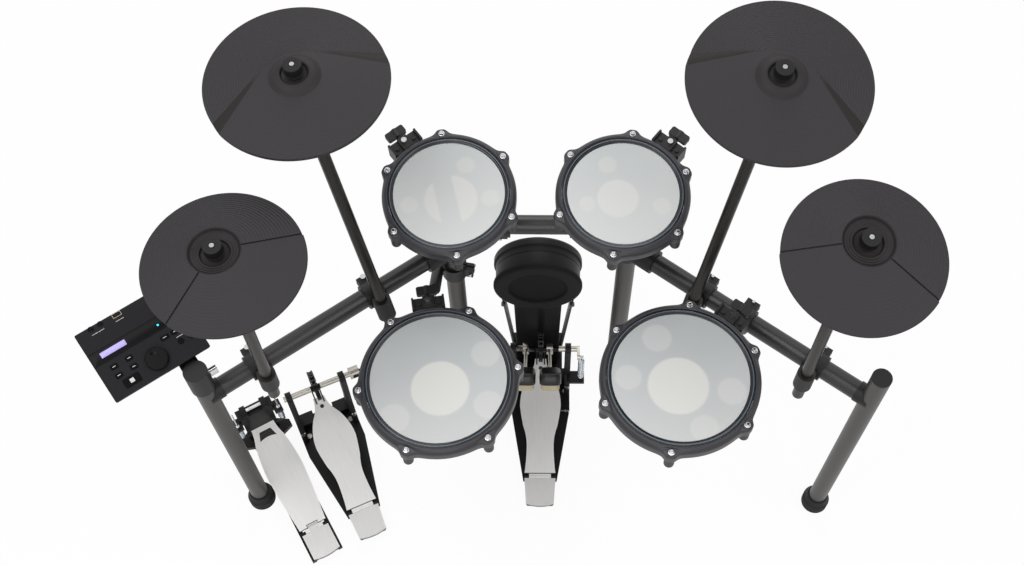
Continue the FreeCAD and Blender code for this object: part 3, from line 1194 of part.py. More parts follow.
def beater(x):
    """Hub with its rod, the moulded head and its felt back, leaning back towards the player."""
    lean = math.radians(BEATER_LEAN)
    out = V(0, -math.sin(lean), math.cos(lean))
    ahead = V(0, math.cos(lean), math.sin(lean))
    hub = cyl(BEATER_HUB_RADIUS, on_axle(x - BEATER_HUB_WIDTH / 2), X_WAY, BEATER_HUB_WIDTH)
    rod = cyl(BEATER_ROD_RADIUS, on_axle(x), out, BEATER_LENGTH - BEATER_HEIGHT / 2)
    head_frame = frame_on(on_axle(x) + out * BEATER_LENGTH, X_WAY, ahead)
    head = round_block(BEATER_WIDTH, BEATER_HEIGHT, BEATER_CORNER, 0, BEATER_BLOCK)
    inset = 2 * BEATER_FELT_INSET
    felt = round_block(BEATER_WIDTH - inset, BEATER_HEIGHT - inset, BEATER_CORNER - BEATER_FELT_INSET,
                       -BEATER_FELT, BEATER_FELT)
    return fused([hub, rod]), [placed(head, head_frame), placed(felt, head_frame)]


def spring_arm(s):
    """Crank on the axle's outer end with the pin that pulls a beater spring."""
    start = on_axle(s * SPRING_X - SPRING_ARM_THICKNESS / 2)
    arm = plate([(0, -SPRING_ARM_ROUND), (SPRING_ARM, -SPRING_ARM_ROUND),
                 ((SPRING_ARM + SPRING_ARM_ROUND, 0), (SPRING_ARM, SPRING_ARM_ROUND)), (0, SPRING_ARM_ROUND),
                 ((-SPRING_ARM_ROUND, 0), (0, -SPRING_ARM_ROUND))], 0, SPRING_ARM_THICKNESS)
    arm = placed(arm, frame_on(start, arm_way, X_WAY))
    pin = cyl(SPRING_PIN_RADIUS, on_axle(s * SPRING_X) + arm_way * SPRING_ARM, X_WAY * s,
              SPRING_ARM_THICKNESS / 2 + SPRING_PIN_LENGTH)
    return [arm, pin]


def joint_fork(x, way):
    """Forked end of an axle with a spherical seat for the ball of the drive shaft."""
    centre = on_axle(x)
    fork = cyl(JOINT_FORK_RADIUS, centre - way * JOINT_FORK_ROOT, way, JOINT_FORK_ROOT + JOINT_FORK_TIP)
    slot = block((JOINT_FORK_TIP + JOINT_BALL_RADIUS + 1, 4 * JOINT_FORK_RADIUS, JOINT_FORK_SLOT),
                 ((JOINT_FORK_TIP + 1 - JOINT_BALL_RADIUS) / 2, 0, 0))
    slot = placed(slot, frame_on(centre, way, UP))
    return fork.cut([slot, Part.makeSphere(JOINT_BALL_RADIUS + FREE_GAP, centre)])


def axle_rod(start, end):
    """Round axle between two stations."""
    return cyl(AXLE_RADIUS, on_axle(start), X_WAY, end - start)


def link_plate(a, b, inside):
    """Pair of side plates of one chain link between two joints."""
    length = (b - a).Length
    h = CHAIN_HALF_HEIGHT
    outline = [(0, -h), (length, -h), ((length + h, 0), (length, h)), (0, h), ((-h, 0), (0, -h))]
    frame = frame_on(a, unit(b - a), X_WAY)
    return [placed(plate(outline, z, CHAIN_PLATE), frame) for z in (inside, -inside - CHAIN_PLATE)]


def roller_chain():
    """Chain that lies over the cam and hangs to the yoke pin, with inner and outer links in turn."""
    wrap = math.radians(CHAIN_START)
    on_cam = chain_radius * wrap
    total = on_cam + AXLE_Z - yoke_point.z
    joints = []
    for i in range(CHAIN_LINKS + 1):
        along = total * i / CHAIN_LINKS
        angle = max(wrap - along / chain_radius, 0)
        drop = max(along - on_cam, 0)
        spoke = V(0, math.cos(angle), math.sin(angle)) * chain_radius
        joints.append(on_axle(0) + spoke - UP * drop)
    parts = []
    for i, (a, b) in enumerate(zip(joints, joints[1:])):
        parts += link_plate(a, b, CHAIN_INNER + CHAIN_PLATE * (i % 2))
    reach = CHAIN_INNER + 2 * CHAIN_PLATE
    parts += [cyl(CHAIN_ROLLER_RADIUS, j - X_WAY * reach, X_WAY, 2 * reach) for j in joints[:-1]]
    return fused(parts).cut(cyl(YOKE_PIN_RADIUS + SEAT_GAP, joints[-1] - X_WAY * 2 * reach, X_WAY, 4 * reach))


chain_radius = CAM_RADIUS + CHAIN_SEAT + CHAIN_HALF_HEIGHT
board_slope = math.radians(BOARD_REST)
yoke_reach = (axle_y + chain_radius - HINGE_Y) / math.cos(board_slope)
yoke_point = V(0, axle_y + chain_radius, HINGE_Z + yoke_reach * math.sin(board_slope))
yoke_inside = CHAIN_INNER + 2 * CHAIN_PLATE + 3 * FREE_GAP
arm_turn = math.radians(SPRING_ARM_ANGLE)
arm_way = V(0, math.cos(arm_turn), math.sin(arm_turn))
spring_line_x = SPRING_X + (SPRING_ARM_THICKNESS + SPRING_PIN_LENGTH) / 2
spring_top = on_axle(spring_line_x) + arm_way * SPRING_ARM
board_frame = FreeCAD.Placement(V(0, HINGE_Y, HINGE_Z), FreeCAD.Rotation(X_WAY, BOARD_REST))

main_frame = pedal_frame(MAIN_PEDAL)
slave_frame = pedal_frame(SLAVE_PEDAL)
for name, frame, shelves in (("main", main_frame, (-1, 1)), ("slave", slave_frame, ())):
    add(name + "_base", placed(kick_base(shelves), frame))
    add(name + "_footboard", placed(placed(kick_footboard(), board_frame), frame))
    add("heel_plates", placed(heel_plate(BOARD_HEEL_WIDTH), frame))
    add("clamp_bolts", [placed(s, frame) for s in dome_screws()])
    add(name + "_chain", placed(roller_chain(), frame))

add("clamp_bolts", placed(wing_bolt(), main_frame))
shaft_room = cyl(AXLE_RADIUS + SEAT_GAP, on_axle(-2 * SPRING_X), X_WAY, 4 * SPRING_X)
right_axle = fused([axle_rod(AXLE_SPLIT_X + FREE_GAP, SPRING_X), cam()] + spring_arm(1))
spigot_room = cyl(SPIGOT_RADIUS + RUNNING_GAP, on_axle(AXLE_SPLIT_X), X_WAY, SPIGOT_LENGTH + FREE_GAP)
right_axle = right_axle.cut(spigot_room)
add("main_axle", placed(right_axle, main_frame))
hub, head = beater(RIGHT_BEATER_X)
add("right_beater", [placed(s, main_frame) for s in [hub.cut(shaft_room)] + head])
hub, head = beater(LEFT_BEATER_X)
left_axle = fused([axle_rod(MAIN_JOINT_X + JOINT_FORK_ROOT - 1, AXLE_SPLIT_X),
                   cyl(SPIGOT_RADIUS, on_axle(AXLE_SPLIT_X - 1), X_WAY, SPIGOT_LENGTH + 1),
                   joint_fork(MAIN_JOINT_X, V(-1, 0, 0)), hub] + spring_arm(-1))
add("left_beater", [placed(s, main_frame) for s in [left_axle] + head])
slave_axle = fused([axle_rod(-TOWER_X - STUB_LENGTH, SLAVE_JOINT_X - JOINT_FORK_ROOT + 1), cam(),
                    joint_fork(SLAVE_JOINT_X, X_WAY)])
add("slave_axle", placed(slave_axle, slave_frame))
for s, node in ((1, "right_spring"), (-1, "left_spring")):
    lift = UP * (SPRING_PIN_RADIUS + SEAT_GAP)
    top = V(s * spring_top.x, spring_top.y, spring_top.z) - lift
    foot = V(top.x, top.y, SPRING_FOOT_Z + SEAT_GAP)
    add(node, placed(coil_spring(top, foot, SPRING_COILS, node), main_frame))

main_joint = main_frame.multVec(on_axle(MAIN_JOINT_X))
slave_joint = slave_frame.multVec(on_axle(SLAVE_JOINT_X))
shaft_way = unit(main_joint - slave_joint)
shaft_length = (main_joint - slave_joint).Length
sleeve = shaft_length * SHAFT_SLEEVE_SHARE
add("drive_shaft", fused([
    cyl(SHAFT_RADIUS, slave_joint, shaft_way, shaft_length),
    cyl(SHAFT_SLEEVE_RADIUS, slave_joint + shaft_way * ((shaft_length - sleeve) / 2), shaft_way, sleeve),
    Part.makeSphere(JOINT_BALL_RADIUS, slave_joint),
    Part.makeSphere(JOINT_BALL_RADIUS, main_joint)]))


# Hi-hat pedal: rails with a portal at the toe, a board hung on two adjustable springs.
hihat_frame = pedal_frame(HIHAT_PEDAL)
hihat_board_frame = FreeCAD.Placement(V(0, HINGE_Y, HINGE_Z), FreeCAD.Rotation(X_WAY, HIHAT_BOARD_REST))
cross_point = hihat_board_frame.multVec(V(0, HIHAT_BOARD_LENGTH, -HIHAT_CROSS_DROP))
portal_y = hihat_board_frame.multVec(V(0, HIHAT_BOARD_LENGTH, 0)).y + HIHAT_TOE_GAP
portal_middle = portal_y + HIHAT_BLOCK_DEPTH / 2
portal_end = portal_y + HIHAT_BLOCK_DEPTH
ear_z = cross_point.z + HIHAT_SPRING_RISE
beam_foot = ear_z - HIHAT_BEAM_DROP
beam_top = beam_foot + HIHAT_BEAM_HEIGHT


def hihat_base():
    """Two floor rails with the heel riser, hinge eyes and a walled toe portal with lugs, ears and feet."""
    half = HIHAT_BLOCK_WIDTH / 2
    inner = 2 * RAIL_X
    parts = [heel_riser] + hinge_eyes(HIHAT_HEEL_WIDTH, HIHAT_NOTCH_WIDTH)
    parts.append(block((HIHAT_BLOCK_WIDTH, HIHAT_BLOCK_DEPTH, HIHAT_BEAM_HEIGHT),
                       (0, portal_middle, beam_foot + HIHAT_BEAM_HEIGHT / 2)))
    parts.append(block((inner, HIHAT_BLOCK_DEPTH, RAIL_HEIGHT), (0, portal_middle, RAIL_HEIGHT / 2)))
    parts.append(block((inner, HIHAT_WALL, beam_top), (0, portal_middle, beam_top / 2)))
    ear_room = cyl(HIHAT_TAIL_RADIUS + SEAT_GAP, V(0, cross_point.y, 0), UP, ear_z + HIHAT_TAIL_RISE)
    ear_holes = []
    for s in (-1, 1):
        length = portal_end + RAIL_PAST_BLOCK - heel_rear
        x = s * RAIL_X
        parts.append(block((RAIL_WIDTH, length, RAIL_HEIGHT), (x, heel_rear + length / 2, RAIL_HEIGHT / 2)))
        parts.append(block((RAIL_WIDTH, HIHAT_BLOCK_DEPTH, beam_top), (x, portal_middle, beam_top / 2)))
        foot = [(x, portal_end - HIHAT_FOOT_LENGTH), (s * HIHAT_FOOT_REACH, portal_y - RAIL_WIDTH),
                (s * HIHAT_FOOT_REACH, portal_y + RAIL_WIDTH / 2), (x, portal_end)]
        parts.append(plate(foot, 0, RAIL_HEIGHT))
        spring_line = beam_top + HIHAT_LUG_RISE / 5
        lug = [(portal_y, beam_top - 1), (portal_end, beam_top - 1), (portal_end, spring_line),
               ((portal_middle, beam_top + HIHAT_LUG_RISE), (portal_y, spring_line))]
        parts.append(side_plate(lug, s * HIHAT_LUG_X - HIHAT_LUG_WIDTH / 2, HIHAT_LUG_WIDTH))
        ear_end = HIHAT_SPRING_X + HIHAT_EAR_THICKNESS
        ear_front = cross_point.y - HIHAT_EAR_THICKNESS
        parts.append(block((ear_end - half + 4, portal_middle - ear_front, HIHAT_EAR_THICKNESS),
                           (s * (ear_end + half - 4) / 2, (portal_middle + ear_front) / 2, ear_z)))
        ear_holes.append(placed(ear_room, local_frame((s * HIHAT_SPRING_X, 0, 0))))
    return fused(parts).cut(ear_holes)


def hihat_hardware():
    """Bright rod between the lugs, and the threaded tails with their nuts above the ears."""
    gap = HIHAT_LUG_X - HIHAT_LUG_WIDTH / 2
    rod_z = beam_top + 2 * HIHAT_ROD_RADIUS
    parts = [cyl(HIHAT_ROD_RADIUS, V(-gap, portal_middle, rod_z), X_WAY, 2 * gap)]
    for s in (-1, 1):
        at = V(s * HIHAT_SPRING_X, cross_point.y, ear_z - HIHAT_EAR_THICKNESS / 2)
        tail = cyl(HIHAT_TAIL_RADIUS, at, UP, ear_z + HIHAT_TAIL_RISE - at.z)
        nut = cyl(HIHAT_NUT_RADIUS, at + UP * HIHAT_EAR_THICKNESS, UP, HIHAT_EAR_THICKNESS)
        parts.append(fused([tail, nut]))
    return parts


def hihat_heel():
    """Heel rest with a tongue that lies in the notch of the board."""
    tip = HINGE_Y + HIHAT_NOTCH_DEPTH
    tongue = block((HIHAT_NOTCH_WIDTH - 4 * FREE_GAP, tip - heel_front + 1, HEEL_PLATE_THICKNESS / 2),
                   (0, (tip + heel_front - 1) / 2, HEEL_PLATE_Z + HEEL_PLATE_THICKNESS * 0.75))
    return fused([heel_plate(HIHAT_HEEL_WIDTH), tongue])


def hihat_footboard():
    """Board with a stepped heel edge, a ribbed window near the toe and a cross rod for the springs."""
    heel, wide, tip = HIHAT_HEEL_WIDTH / 2, HIHAT_BOARD_WIDEST / 2, HIHAT_BOARD_TIP_WIDTH / 2
    shoulder = HIHAT_BOARD_LENGTH - HIHAT_BOARD_SHOULDER
    right = [(heel, BOARD_START),
             ((heel * 0.45 + wide * 0.55, HIHAT_BOARD_WIDEST_AT / 2), (wide, HIHAT_BOARD_WIDEST_AT)),
             ((wide - HIHAT_BOARD_BOW, HIHAT_BOARD_BOW_AT), (HIHAT_SHOULDER_WIDTH / 2, shoulder)),
             ((tip + HIHAT_TIP_BOW, (shoulder + HIHAT_BOARD_LENGTH) / 2), (tip, HIHAT_BOARD_LENGTH))]
    board = plate(mirrored_outline(right), -BOARD_THICKNESS / 2, BOARD_THICKNESS)
    far = HIHAT_BOARD_LENGTH - HIHAT_WINDOW_FROM_TIP
    near = far - HIHAT_WINDOW_LENGTH
    wide_side, narrow_side = HIHAT_WINDOW_WIDTH / 2, HIHAT_WINDOW_WIDTH / 3
    floor = BOARD_THICKNESS / 2 - HIHAT_WINDOW_DEPTH
    outline = [(-wide_side, near), ((0, near + HIHAT_WINDOW_DEPTH), (wide_side, near)),
               (narrow_side, far), (-narrow_side, far)]
    window = plate(outline, floor, BOARD_THICKNESS)
    pitch = HIHAT_WINDOW_LENGTH / (HIHAT_RIBS + 2)
    ribs = [block((HIHAT_WINDOW_WIDTH, pitch / 2, HIHAT_WINDOW_DEPTH), (0, near + pitch * (i + 1.5), floor))
            for i in range(HIHAT_RIBS)]
    board = board.cut(window.cut(ribs))
    drop = -HIHAT_CROSS_DROP
    toe = HIHAT_BOARD_LENGTH
    cheek = [(toe - HIHAT_CHEEK_LENGTH, 0), (toe, 0), (toe + HIHAT_CHEEK_ROUND, drop),
             ((toe, drop - HIHAT_CHEEK_ROUND), (toe - HIHAT_CHEEK_ROUND, drop))]
    reach = HIHAT_SPRING_X + 2 * HIHAT_CROSS_RADIUS
    parts = [cyl(HIHAT_CROSS_RADIUS, V(-reach, HIHAT_BOARD_LENGTH, drop), X_WAY, 2 * reach)]
    parts += [side_plate(cheek, x, YOKE_CHEEK) for x in (HIHAT_CHEEK_X, -HIHAT_CHEEK_X - YOKE_CHEEK)]
    notch = block((HIHAT_NOTCH_WIDTH, 2 * (HIHAT_NOTCH_DEPTH + 1), 4 * BOARD_THICKNESS), (0, 0, 0))
    return hinged(fused([board] + parts), HIHAT_HEEL_WIDTH).cut(notch)


add("hihat_base", placed(hihat_base(), hihat_frame))
add("hihat_footboard", placed(placed(hihat_footboard(), hihat_board_frame), hihat_frame))
add("heel_plates", placed(hihat_heel(), hihat_frame))
add("clamp_bolts", [placed(s, hihat_frame) for s in hihat_hardware()])
for s in (-1, 1):
    top = V(s * HIHAT_SPRING_X, cross_point.y, ear_z - HIHAT_EAR_THICKNESS / 2 - SEAT_GAP)
    foot = V(top.x, cross_point.y, cross_point.z + HIHAT_CROSS_RADIUS + SEAT_GAP)
    add("hihat_springs", placed(coil_spring(top, foot, HIHAT_SPRING_COILS, "hihat_springs"), hihat_frame))


# Sound module: two-part housing with buttons and a dial, on a bracket round the left front post.
module_frame = local_frame((*MODULE_PLACE, FRONT_POST_TOP + MODULE_RISE), MODULE_YAW, MODULE_TILT)


def module_case():
    """Lower housing that draws in towards its floor."""
    wires = []
    for z, inset in ((-MODULE_HEIGHT, MODULE_DRAFT), (-MODULE_PANEL, 0.0)):
        outline = round_block(MODULE_WIDTH - 2 * inset, MODULE_DEPTH - 2 * inset, MODULE_CORNER, z, 1.0)
        wires.append(min(outline.Faces, key=lambda f: f.CenterOfMass.z).OuterWire)
    return Part.makeLoft(wires, True, True)


def button_shapes():
    """Node names with button outlines: place, size and whether round."""
    rows = [("pad_button_%d" % (i + 1), at, SMALL_BUTTON) for i, at in enumerate(SMALL_BUTTON_PLACES)]
    rows.append(("start_button", LARGE_BUTTON_PLACE, LARGE_BUTTON))
    rows += [("mode_button_%d" % (i + 1), at, FLAT_BUTTON) for i, at in enumerate(FLAT_BUTTON_PLACES)]
    rows += [("page_button_%d" % (i + 1), at, None) for i, at in enumerate(ROUND_BUTTON_PLACES)]
    return rows


def button_solid(at, size, grow, bottom, height):
    """Button, or the well round it when grown, standing on a level of the panel."""
    if size is None:
        return cyl(ROUND_BUTTON_RADIUS + grow, V(at[0], at[1], bottom), UP, height)
    shape = round_block(size[0] + 2 * grow, size[1] + 2 * grow, BUTTON_CORNER + grow, bottom, height)
    return placed(shape, local_frame((at[0], at[1], 0)))


def module_panel():
    """Top plate with a bevelled rear strip, wells for the buttons, jack recesses and the dial's bearing."""
    panel = round_block(MODULE_WIDTH, MODULE_DEPTH, MODULE_CORNER, -MODULE_PANEL, MODULE_PANEL)
    rear = MODULE_DEPTH / 2
    slope = [(BEVEL_V, 0), (rear + 1, -BEVEL_DROP), (rear + 1, 1), (BEVEL_V, 1)]
    bevel = side_plate(slope, -MODULE_WIDTH, 2 * MODULE_WIDTH)
    jack_top = -BEVEL_DROP * (JACK_V - BEVEL_V) / (rear + 1 - BEVEL_V)
    stem_foot = V(*DIAL_PLACE, -DIAL_STEM_LENGTH - FREE_GAP)
    cuts = [bevel, cyl(DIAL_STEM_RADIUS + RUNNING_GAP, stem_foot, UP, MODULE_PANEL)]
    cuts += [cyl(JACK_RADIUS, V(u, JACK_V, jack_top - JACK_DEPTH), UP, MODULE_PANEL) for u in JACKS_U]
    cuts.append(block((SOCKET_WIDTH, SOCKET_DEPTH, 2 * JACK_DEPTH), (SOCKET_U, JACK_V, jack_top)))
    cuts += [button_solid(at, size, FREE_GAP, -BUTTON_WELL, MODULE_PANEL) for _, at, size in button_shapes()]
    return panel.cut(cuts)


def dial():
    """Round knob with a finger dimple, on a stem in the panel."""
    base = 2 * FREE_GAP
    knob = lathe([(0, base), (DIAL_RADIUS, base), (DIAL_RADIUS, DIAL_HEIGHT - DIAL_BEVEL),
                  (DIAL_RADIUS - DIAL_BEVEL, DIAL_HEIGHT), (0, DIAL_HEIGHT)])
    stem = cyl(DIAL_STEM_RADIUS, V(0, 0, -DIAL_STEM_LENGTH), UP, DIAL_STEM_LENGTH + base + 1)
    dimple = Part.makeSphere(DIMPLE_RADIUS, V(0, DIMPLE_OFFSET, DIAL_HEIGHT + DIMPLE_RADIUS - DIMPLE_DEPTH))
    return placed(fused([knob, stem]).cut(dimple), local_frame((DIAL_PLACE[0], DIAL_PLACE[1], 0)))


def module_bracket():
    """Cup over the post's top with a neck to a plate under the housing, in world coordinates."""
    post = front_posts[-1]
    plan = local_frame(post, MODULE_YAW)
    collar_radius = TUBE_RADIUS + MODULE_COLLAR_WALL
    collar_foot = FRONT_POST_TOP + MODULE_COLLAR_RISE - MODULE_COLLAR_HEIGHT
    collar = cyl(collar_radius, post + UP * collar_foot, UP, MODULE_COLLAR_HEIGHT)
    neck = block((MODULE_NECK_WIDTH, MODULE_NECK_REACH, MODULE_NECK_HEIGHT),
                 (0, MODULE_NECK_REACH / 2, FRONT_POST_TOP - MODULE_NECK_DROP - MODULE_NECK_HEIGHT / 2))
    floor = -MODULE_HEIGHT - MODULE_PLATE
    front = -MODULE_DEPTH / 2 + MODULE_DRAFT
    tray = block((MODULE_PLATE_SIDE, MODULE_PLATE_SIDE, MODULE_PLATE),
                 (MODULE_PLATE_U, front + MODULE_PLATE_SIDE / 2, floor + MODULE_PLATE / 2))
    post_room = cyl(TUBE_RADIUS + SEAT_GAP, post, UP, FRONT_POST_TOP + SEAT_GAP)
    body = fused([collar, placed(neck, plan), placed(tray, module_frame)])
    knob_way = plan.Rotation.multVec(X_WAY)
    seat = post + UP * (collar_foot + MODULE_COLLAR_HEIGHT / 2) + knob_way * collar_radius
    knob = cyl(BOLT_HEAD_RADIUS * 1.5, seat, knob_way, 3 * BOLT_HEAD_HEIGHT)
    return body.cut([post_room, placed(module_case(), module_frame)]), knob


add("module_case", placed(module_case(), module_frame))
add("module_panel", placed(module_panel(), module_frame))
add("dial", placed(dial(), module_frame))
for node, at, size in button_shapes():
    bottom = BUTTON_TRAVEL + FREE_GAP - BUTTON_WELL
    add(node, placed(button_solid(at, size, 0.0, bottom, BUTTON_HEIGHT), module_frame))
bracket_body, bracket_knob = module_bracket()
add("module_bracket", bracket_body)
add("clamp_bolts", bracket_knob)

# The whole kit is centred over the origin in plan before its nodes are written.
whole = Part.makeCompound([shape for shapes in nodes.values() for shape in shapes]).BoundBox
shift = V(-whole.Center.x, -whole.Center.y, -whole.ZMin)
os.makedirs("parts", exist_ok=True)
for node, shapes in nodes.items():
    solids = [s for shape in shapes for s in shape.Solids]
    group = solids[0] if len(solids) == 1 else Part.makeCompound(solids)
    group.translate(shift)
    group.exportStep("parts/" + node + ".step")
print(len(nodes), "nodes, shift %.2f %.2f %.2f" % (shift.x, shift.y, shift.z))
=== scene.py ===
import bmesh
import bpy
import numpy as np
from mathutils import Matrix, Vector


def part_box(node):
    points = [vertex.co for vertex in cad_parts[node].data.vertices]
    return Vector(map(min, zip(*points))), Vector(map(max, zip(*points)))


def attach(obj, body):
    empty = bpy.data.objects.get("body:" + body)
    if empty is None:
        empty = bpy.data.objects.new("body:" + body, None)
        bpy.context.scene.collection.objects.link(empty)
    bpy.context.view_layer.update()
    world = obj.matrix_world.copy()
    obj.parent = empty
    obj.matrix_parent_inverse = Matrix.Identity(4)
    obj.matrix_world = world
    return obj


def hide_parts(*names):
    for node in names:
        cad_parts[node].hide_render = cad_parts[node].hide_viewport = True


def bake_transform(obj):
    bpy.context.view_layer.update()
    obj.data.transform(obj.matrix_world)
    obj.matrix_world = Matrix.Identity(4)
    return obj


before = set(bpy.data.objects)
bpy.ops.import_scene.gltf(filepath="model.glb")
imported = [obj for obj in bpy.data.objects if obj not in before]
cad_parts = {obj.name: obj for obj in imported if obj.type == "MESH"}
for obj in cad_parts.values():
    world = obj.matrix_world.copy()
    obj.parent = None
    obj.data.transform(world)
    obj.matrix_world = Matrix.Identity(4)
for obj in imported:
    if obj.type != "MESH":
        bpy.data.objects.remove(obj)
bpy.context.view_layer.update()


# Stand posts: steel tubes of 38.1 mm, powder coated in a warm satin grey. They stand in rubber
# feet and carry the bars; the coat has the faint orange peel of baked powder.
def linear(colour):
    """Hex colour from sRGB to linear: c / 12.92 up to 0.04045, else ((c + 0.055) / 1.055) to the 2.4."""
    c = np.array([int(colour[i:i + 2], 16) for i in (1, 3, 5)]) / 255
    return (*np.where(c <= 0.04045, c / 12.92, ((c + 0.055) / 1.055) ** 2.4).tolist(), 1.0)


def add_node(material, kind, inputs=None, **settings):
    """Node in a material with its settings; each input is a constant or the socket that feeds it."""
    made = material.node_tree.nodes.new(kind)
    for name, value in settings.items():
        setattr(made, name, value)
    for name, value in (inputs or {}).items():
        if isinstance(value, bpy.types.NodeSocket):
            material.node_tree.links.new(value, made.inputs[name])
        else:
            made.inputs[name].default_value = value
    return made


def finish(name, dark, light, grain_mm, rough, relief_mm, sockets=None):
    """Mottled finish: a noise of the grain's size mixes two colours, moves the roughness between two
    values and lifts the surface by the relief. Other shader sockets take constants."""
    made = bpy.data.materials.new(name)
    made.use_nodes = True
    shader = made.node_tree.nodes["Principled BSDF"]
    where = add_node(made, "ShaderNodeTexCoord")
    grain = add_node(made, "ShaderNodeTexNoise",
                     {"Vector": where.outputs["Object"], "Scale": 1000 / grain_mm, "Detail": 4.0})
    colour = add_node(made, "ShaderNodeMix", {0: grain.outputs[0], 6: linear(dark), 7: linear(light)},
                      data_type="RGBA")
    polish = add_node(made, "ShaderNodeMapRange",
                      {"Value": grain.outputs[0], "To Min": rough[0], "To Max": rough[1]})
    relief = add_node(made, "ShaderNodeBump",
                      {"Height": grain.outputs[0], "Strength": 0.5, "Distance": relief_mm / 1000})
    links = made.node_tree.links
    links.new(colour.outputs[2], shader.inputs["Base Color"])
    links.new(polish.outputs[0], shader.inputs["Roughness"])
    links.new(relief.outputs[0], shader.inputs["Normal"])
    for socket, value in (sockets or {}).items():
        shader.inputs[socket].default_value = value
    return made


def dress(material, *names):
    """Gives CAD nodes a material in place of the one they came with."""
    for name in names:
        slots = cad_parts[name].data.materials
        slots.clear()
        slots.append(material)


TUBE_RADIUS = 19.05
low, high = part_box("posts")
kit_origin = np.array([(low.x + high.x) / 2, low.y + TUBE_RADIUS / 1000, 0.0])
powder_coat = finish("satin_powder_coat", "#3a3735", "#4a4744", 2.5, (0.36, 0.46), 0.02, {"Metallic": 0.25})
dress(powder_coat, "posts")

# Feet and post caps: black rubber mouldings with ribs, pressed over the tube ends. Rubber scatters
# light evenly and looks a little dusty.
black_rubber = finish("black_rubber", "#0f0f0f", "#1c1b1b", 3.0, (0.62, 0.8), 0.06,
                      {"Specular IOR Level": 0.35})
dress(black_rubber, "rubber_feet_and_caps")

# Bars: the same tube in gloss black enamel, held level between the posts. The coat is even and shows
# the lamps as long streaks.
gloss_enamel = finish("gloss_black_enamel", "#232325", "#2b2b2d", 60.0, (0.34, 0.4), 0.0005,
                      {"Specular IOR Level": 0.5})
dress(gloss_enamel, "stand_bars")

# Tube joints and clamps: glass-filled nylon mouldings, split and drawn tight by a bolt through an ear.
# The fibres leave a fine dull grain.
filled_nylon = finish("glass_filled_nylon", "#0b0b0c", "#171718", 1.6, (0.42, 0.58), 0.05,
                      {"Specular IOR Level": 0.35})
dress(filled_nylon, "bar_joints", "bar_clamps", "module_bracket")

# Bolts, pad rods and cymbal stems: bolts and rods are chrome-plated and nearly mirror smooth. The
# stems are zinc-plated, so they are duller and a little mottled.
chrome = finish("chrome_plate", "#b4b5b7", "#d8d9db", 25.0, (0.12, 0.2), 0.002, {"Metallic": 1.0})
dress(chrome, "clamp_bolts", "pad_rods")
stem_zinc = finish("zinc_stem_steel", "#9a999a", "#b5b4b4", 3.0, (0.3, 0.4), 0.004, {"Metallic": 0.9})
dress(stem_zinc, "cymbal_stems")

# Cymbal arms: straight drawn tubes in a brownish black satin coat. Each leans out from a clamp on a
# side bar and holds a stem at its upper end.
arm_coat = finish("satin_brown_black_coat", "#1f1b19", "#2d2926", 6.0, (0.3, 0.4), 0.004, {"Metallic": 0.4})
dress(arm_coat, "cymbal_arms")


# Crash cymbals: one rubber moulding over a stiff plate, turned with fine rings. The front third is
# the raised playing zone, with a bevel down each side and a bell round the rocking hub.
def set_out(points, place, yaw=0.0, tilt=0.0):
    a, b = np.radians(yaw), np.radians(tilt)
    tip = np.array([[1, 0, 0], [0, np.cos(b), -np.sin(b)], [0, np.sin(b), np.cos(b)]])
    turn = np.array([[np.cos(a), -np.sin(a), 0], [np.sin(a), np.cos(a), 0], [0, 0, 1]])
    return (points @ (turn @ tip).T + np.array(place)) / 1000 + kit_origin


def stood(name, mesh, material, sharp, body):
    """Smooth piece from a mesh, crisp at edges over the sharp angle, that rides on a body if one is named."""
    mesh.shade_smooth()
    mesh.set_sharp_from_angle(angle=np.radians(sharp))
    mesh.materials.append(material)
    piece = bpy.data.objects.new(name, mesh)
    bpy.context.scene.collection.objects.link(piece)
    if body:
        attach(piece, body)
    return piece


def surface(name, grids, body, material, wrap_u=True, wrap_v=True, sharp=40.0, marks=None):
    """Mesh piece from grids of points. Four neighbours make a face, and a wrapped side joins its ends.
    Seams and poles are merged, faces turned outwards and edges over the sharp angle kept crisp. Marks
    give each point a value that the material may read."""
    points, faces, first = [], [], 0
    for grid in grids:
        nu, nv = grid.shape[:2]
        i, j = np.meshgrid(np.arange(nu if wrap_u else nu - 1), np.arange(nv if wrap_v else nv - 1),
                           indexing="ij")
        corners = [(i + a) % nu * nv + (j + b) % nv for a, b in ((0, 0), (1, 0), (1, 1), (0, 1))]
        faces.append(np.stack(corners, -1).reshape(-1, 4) + first)
        points.append(grid.reshape(-1, 3))
        first += nu * nv
    mesh = bpy.data.meshes.new(name)
    mesh.from_pydata(np.concatenate(points).tolist(), [], np.concatenate(faces).tolist())
    if marks is not None:
        mesh.attributes.new("shade_and_tone_mark", "FLOAT", "POINT").data.foreach_set("value", marks.reshape(-1))
    work = bmesh.new()
    work.from_mesh(mesh)
    bmesh.ops.remove_doubles(work, verts=work.verts, dist=2e-6)
    bmesh.ops.recalc_face_normals(work, faces=work.faces)
    work.to_mesh(mesh)
    work.free()
    return stood(name, mesh, material, sharp, body)


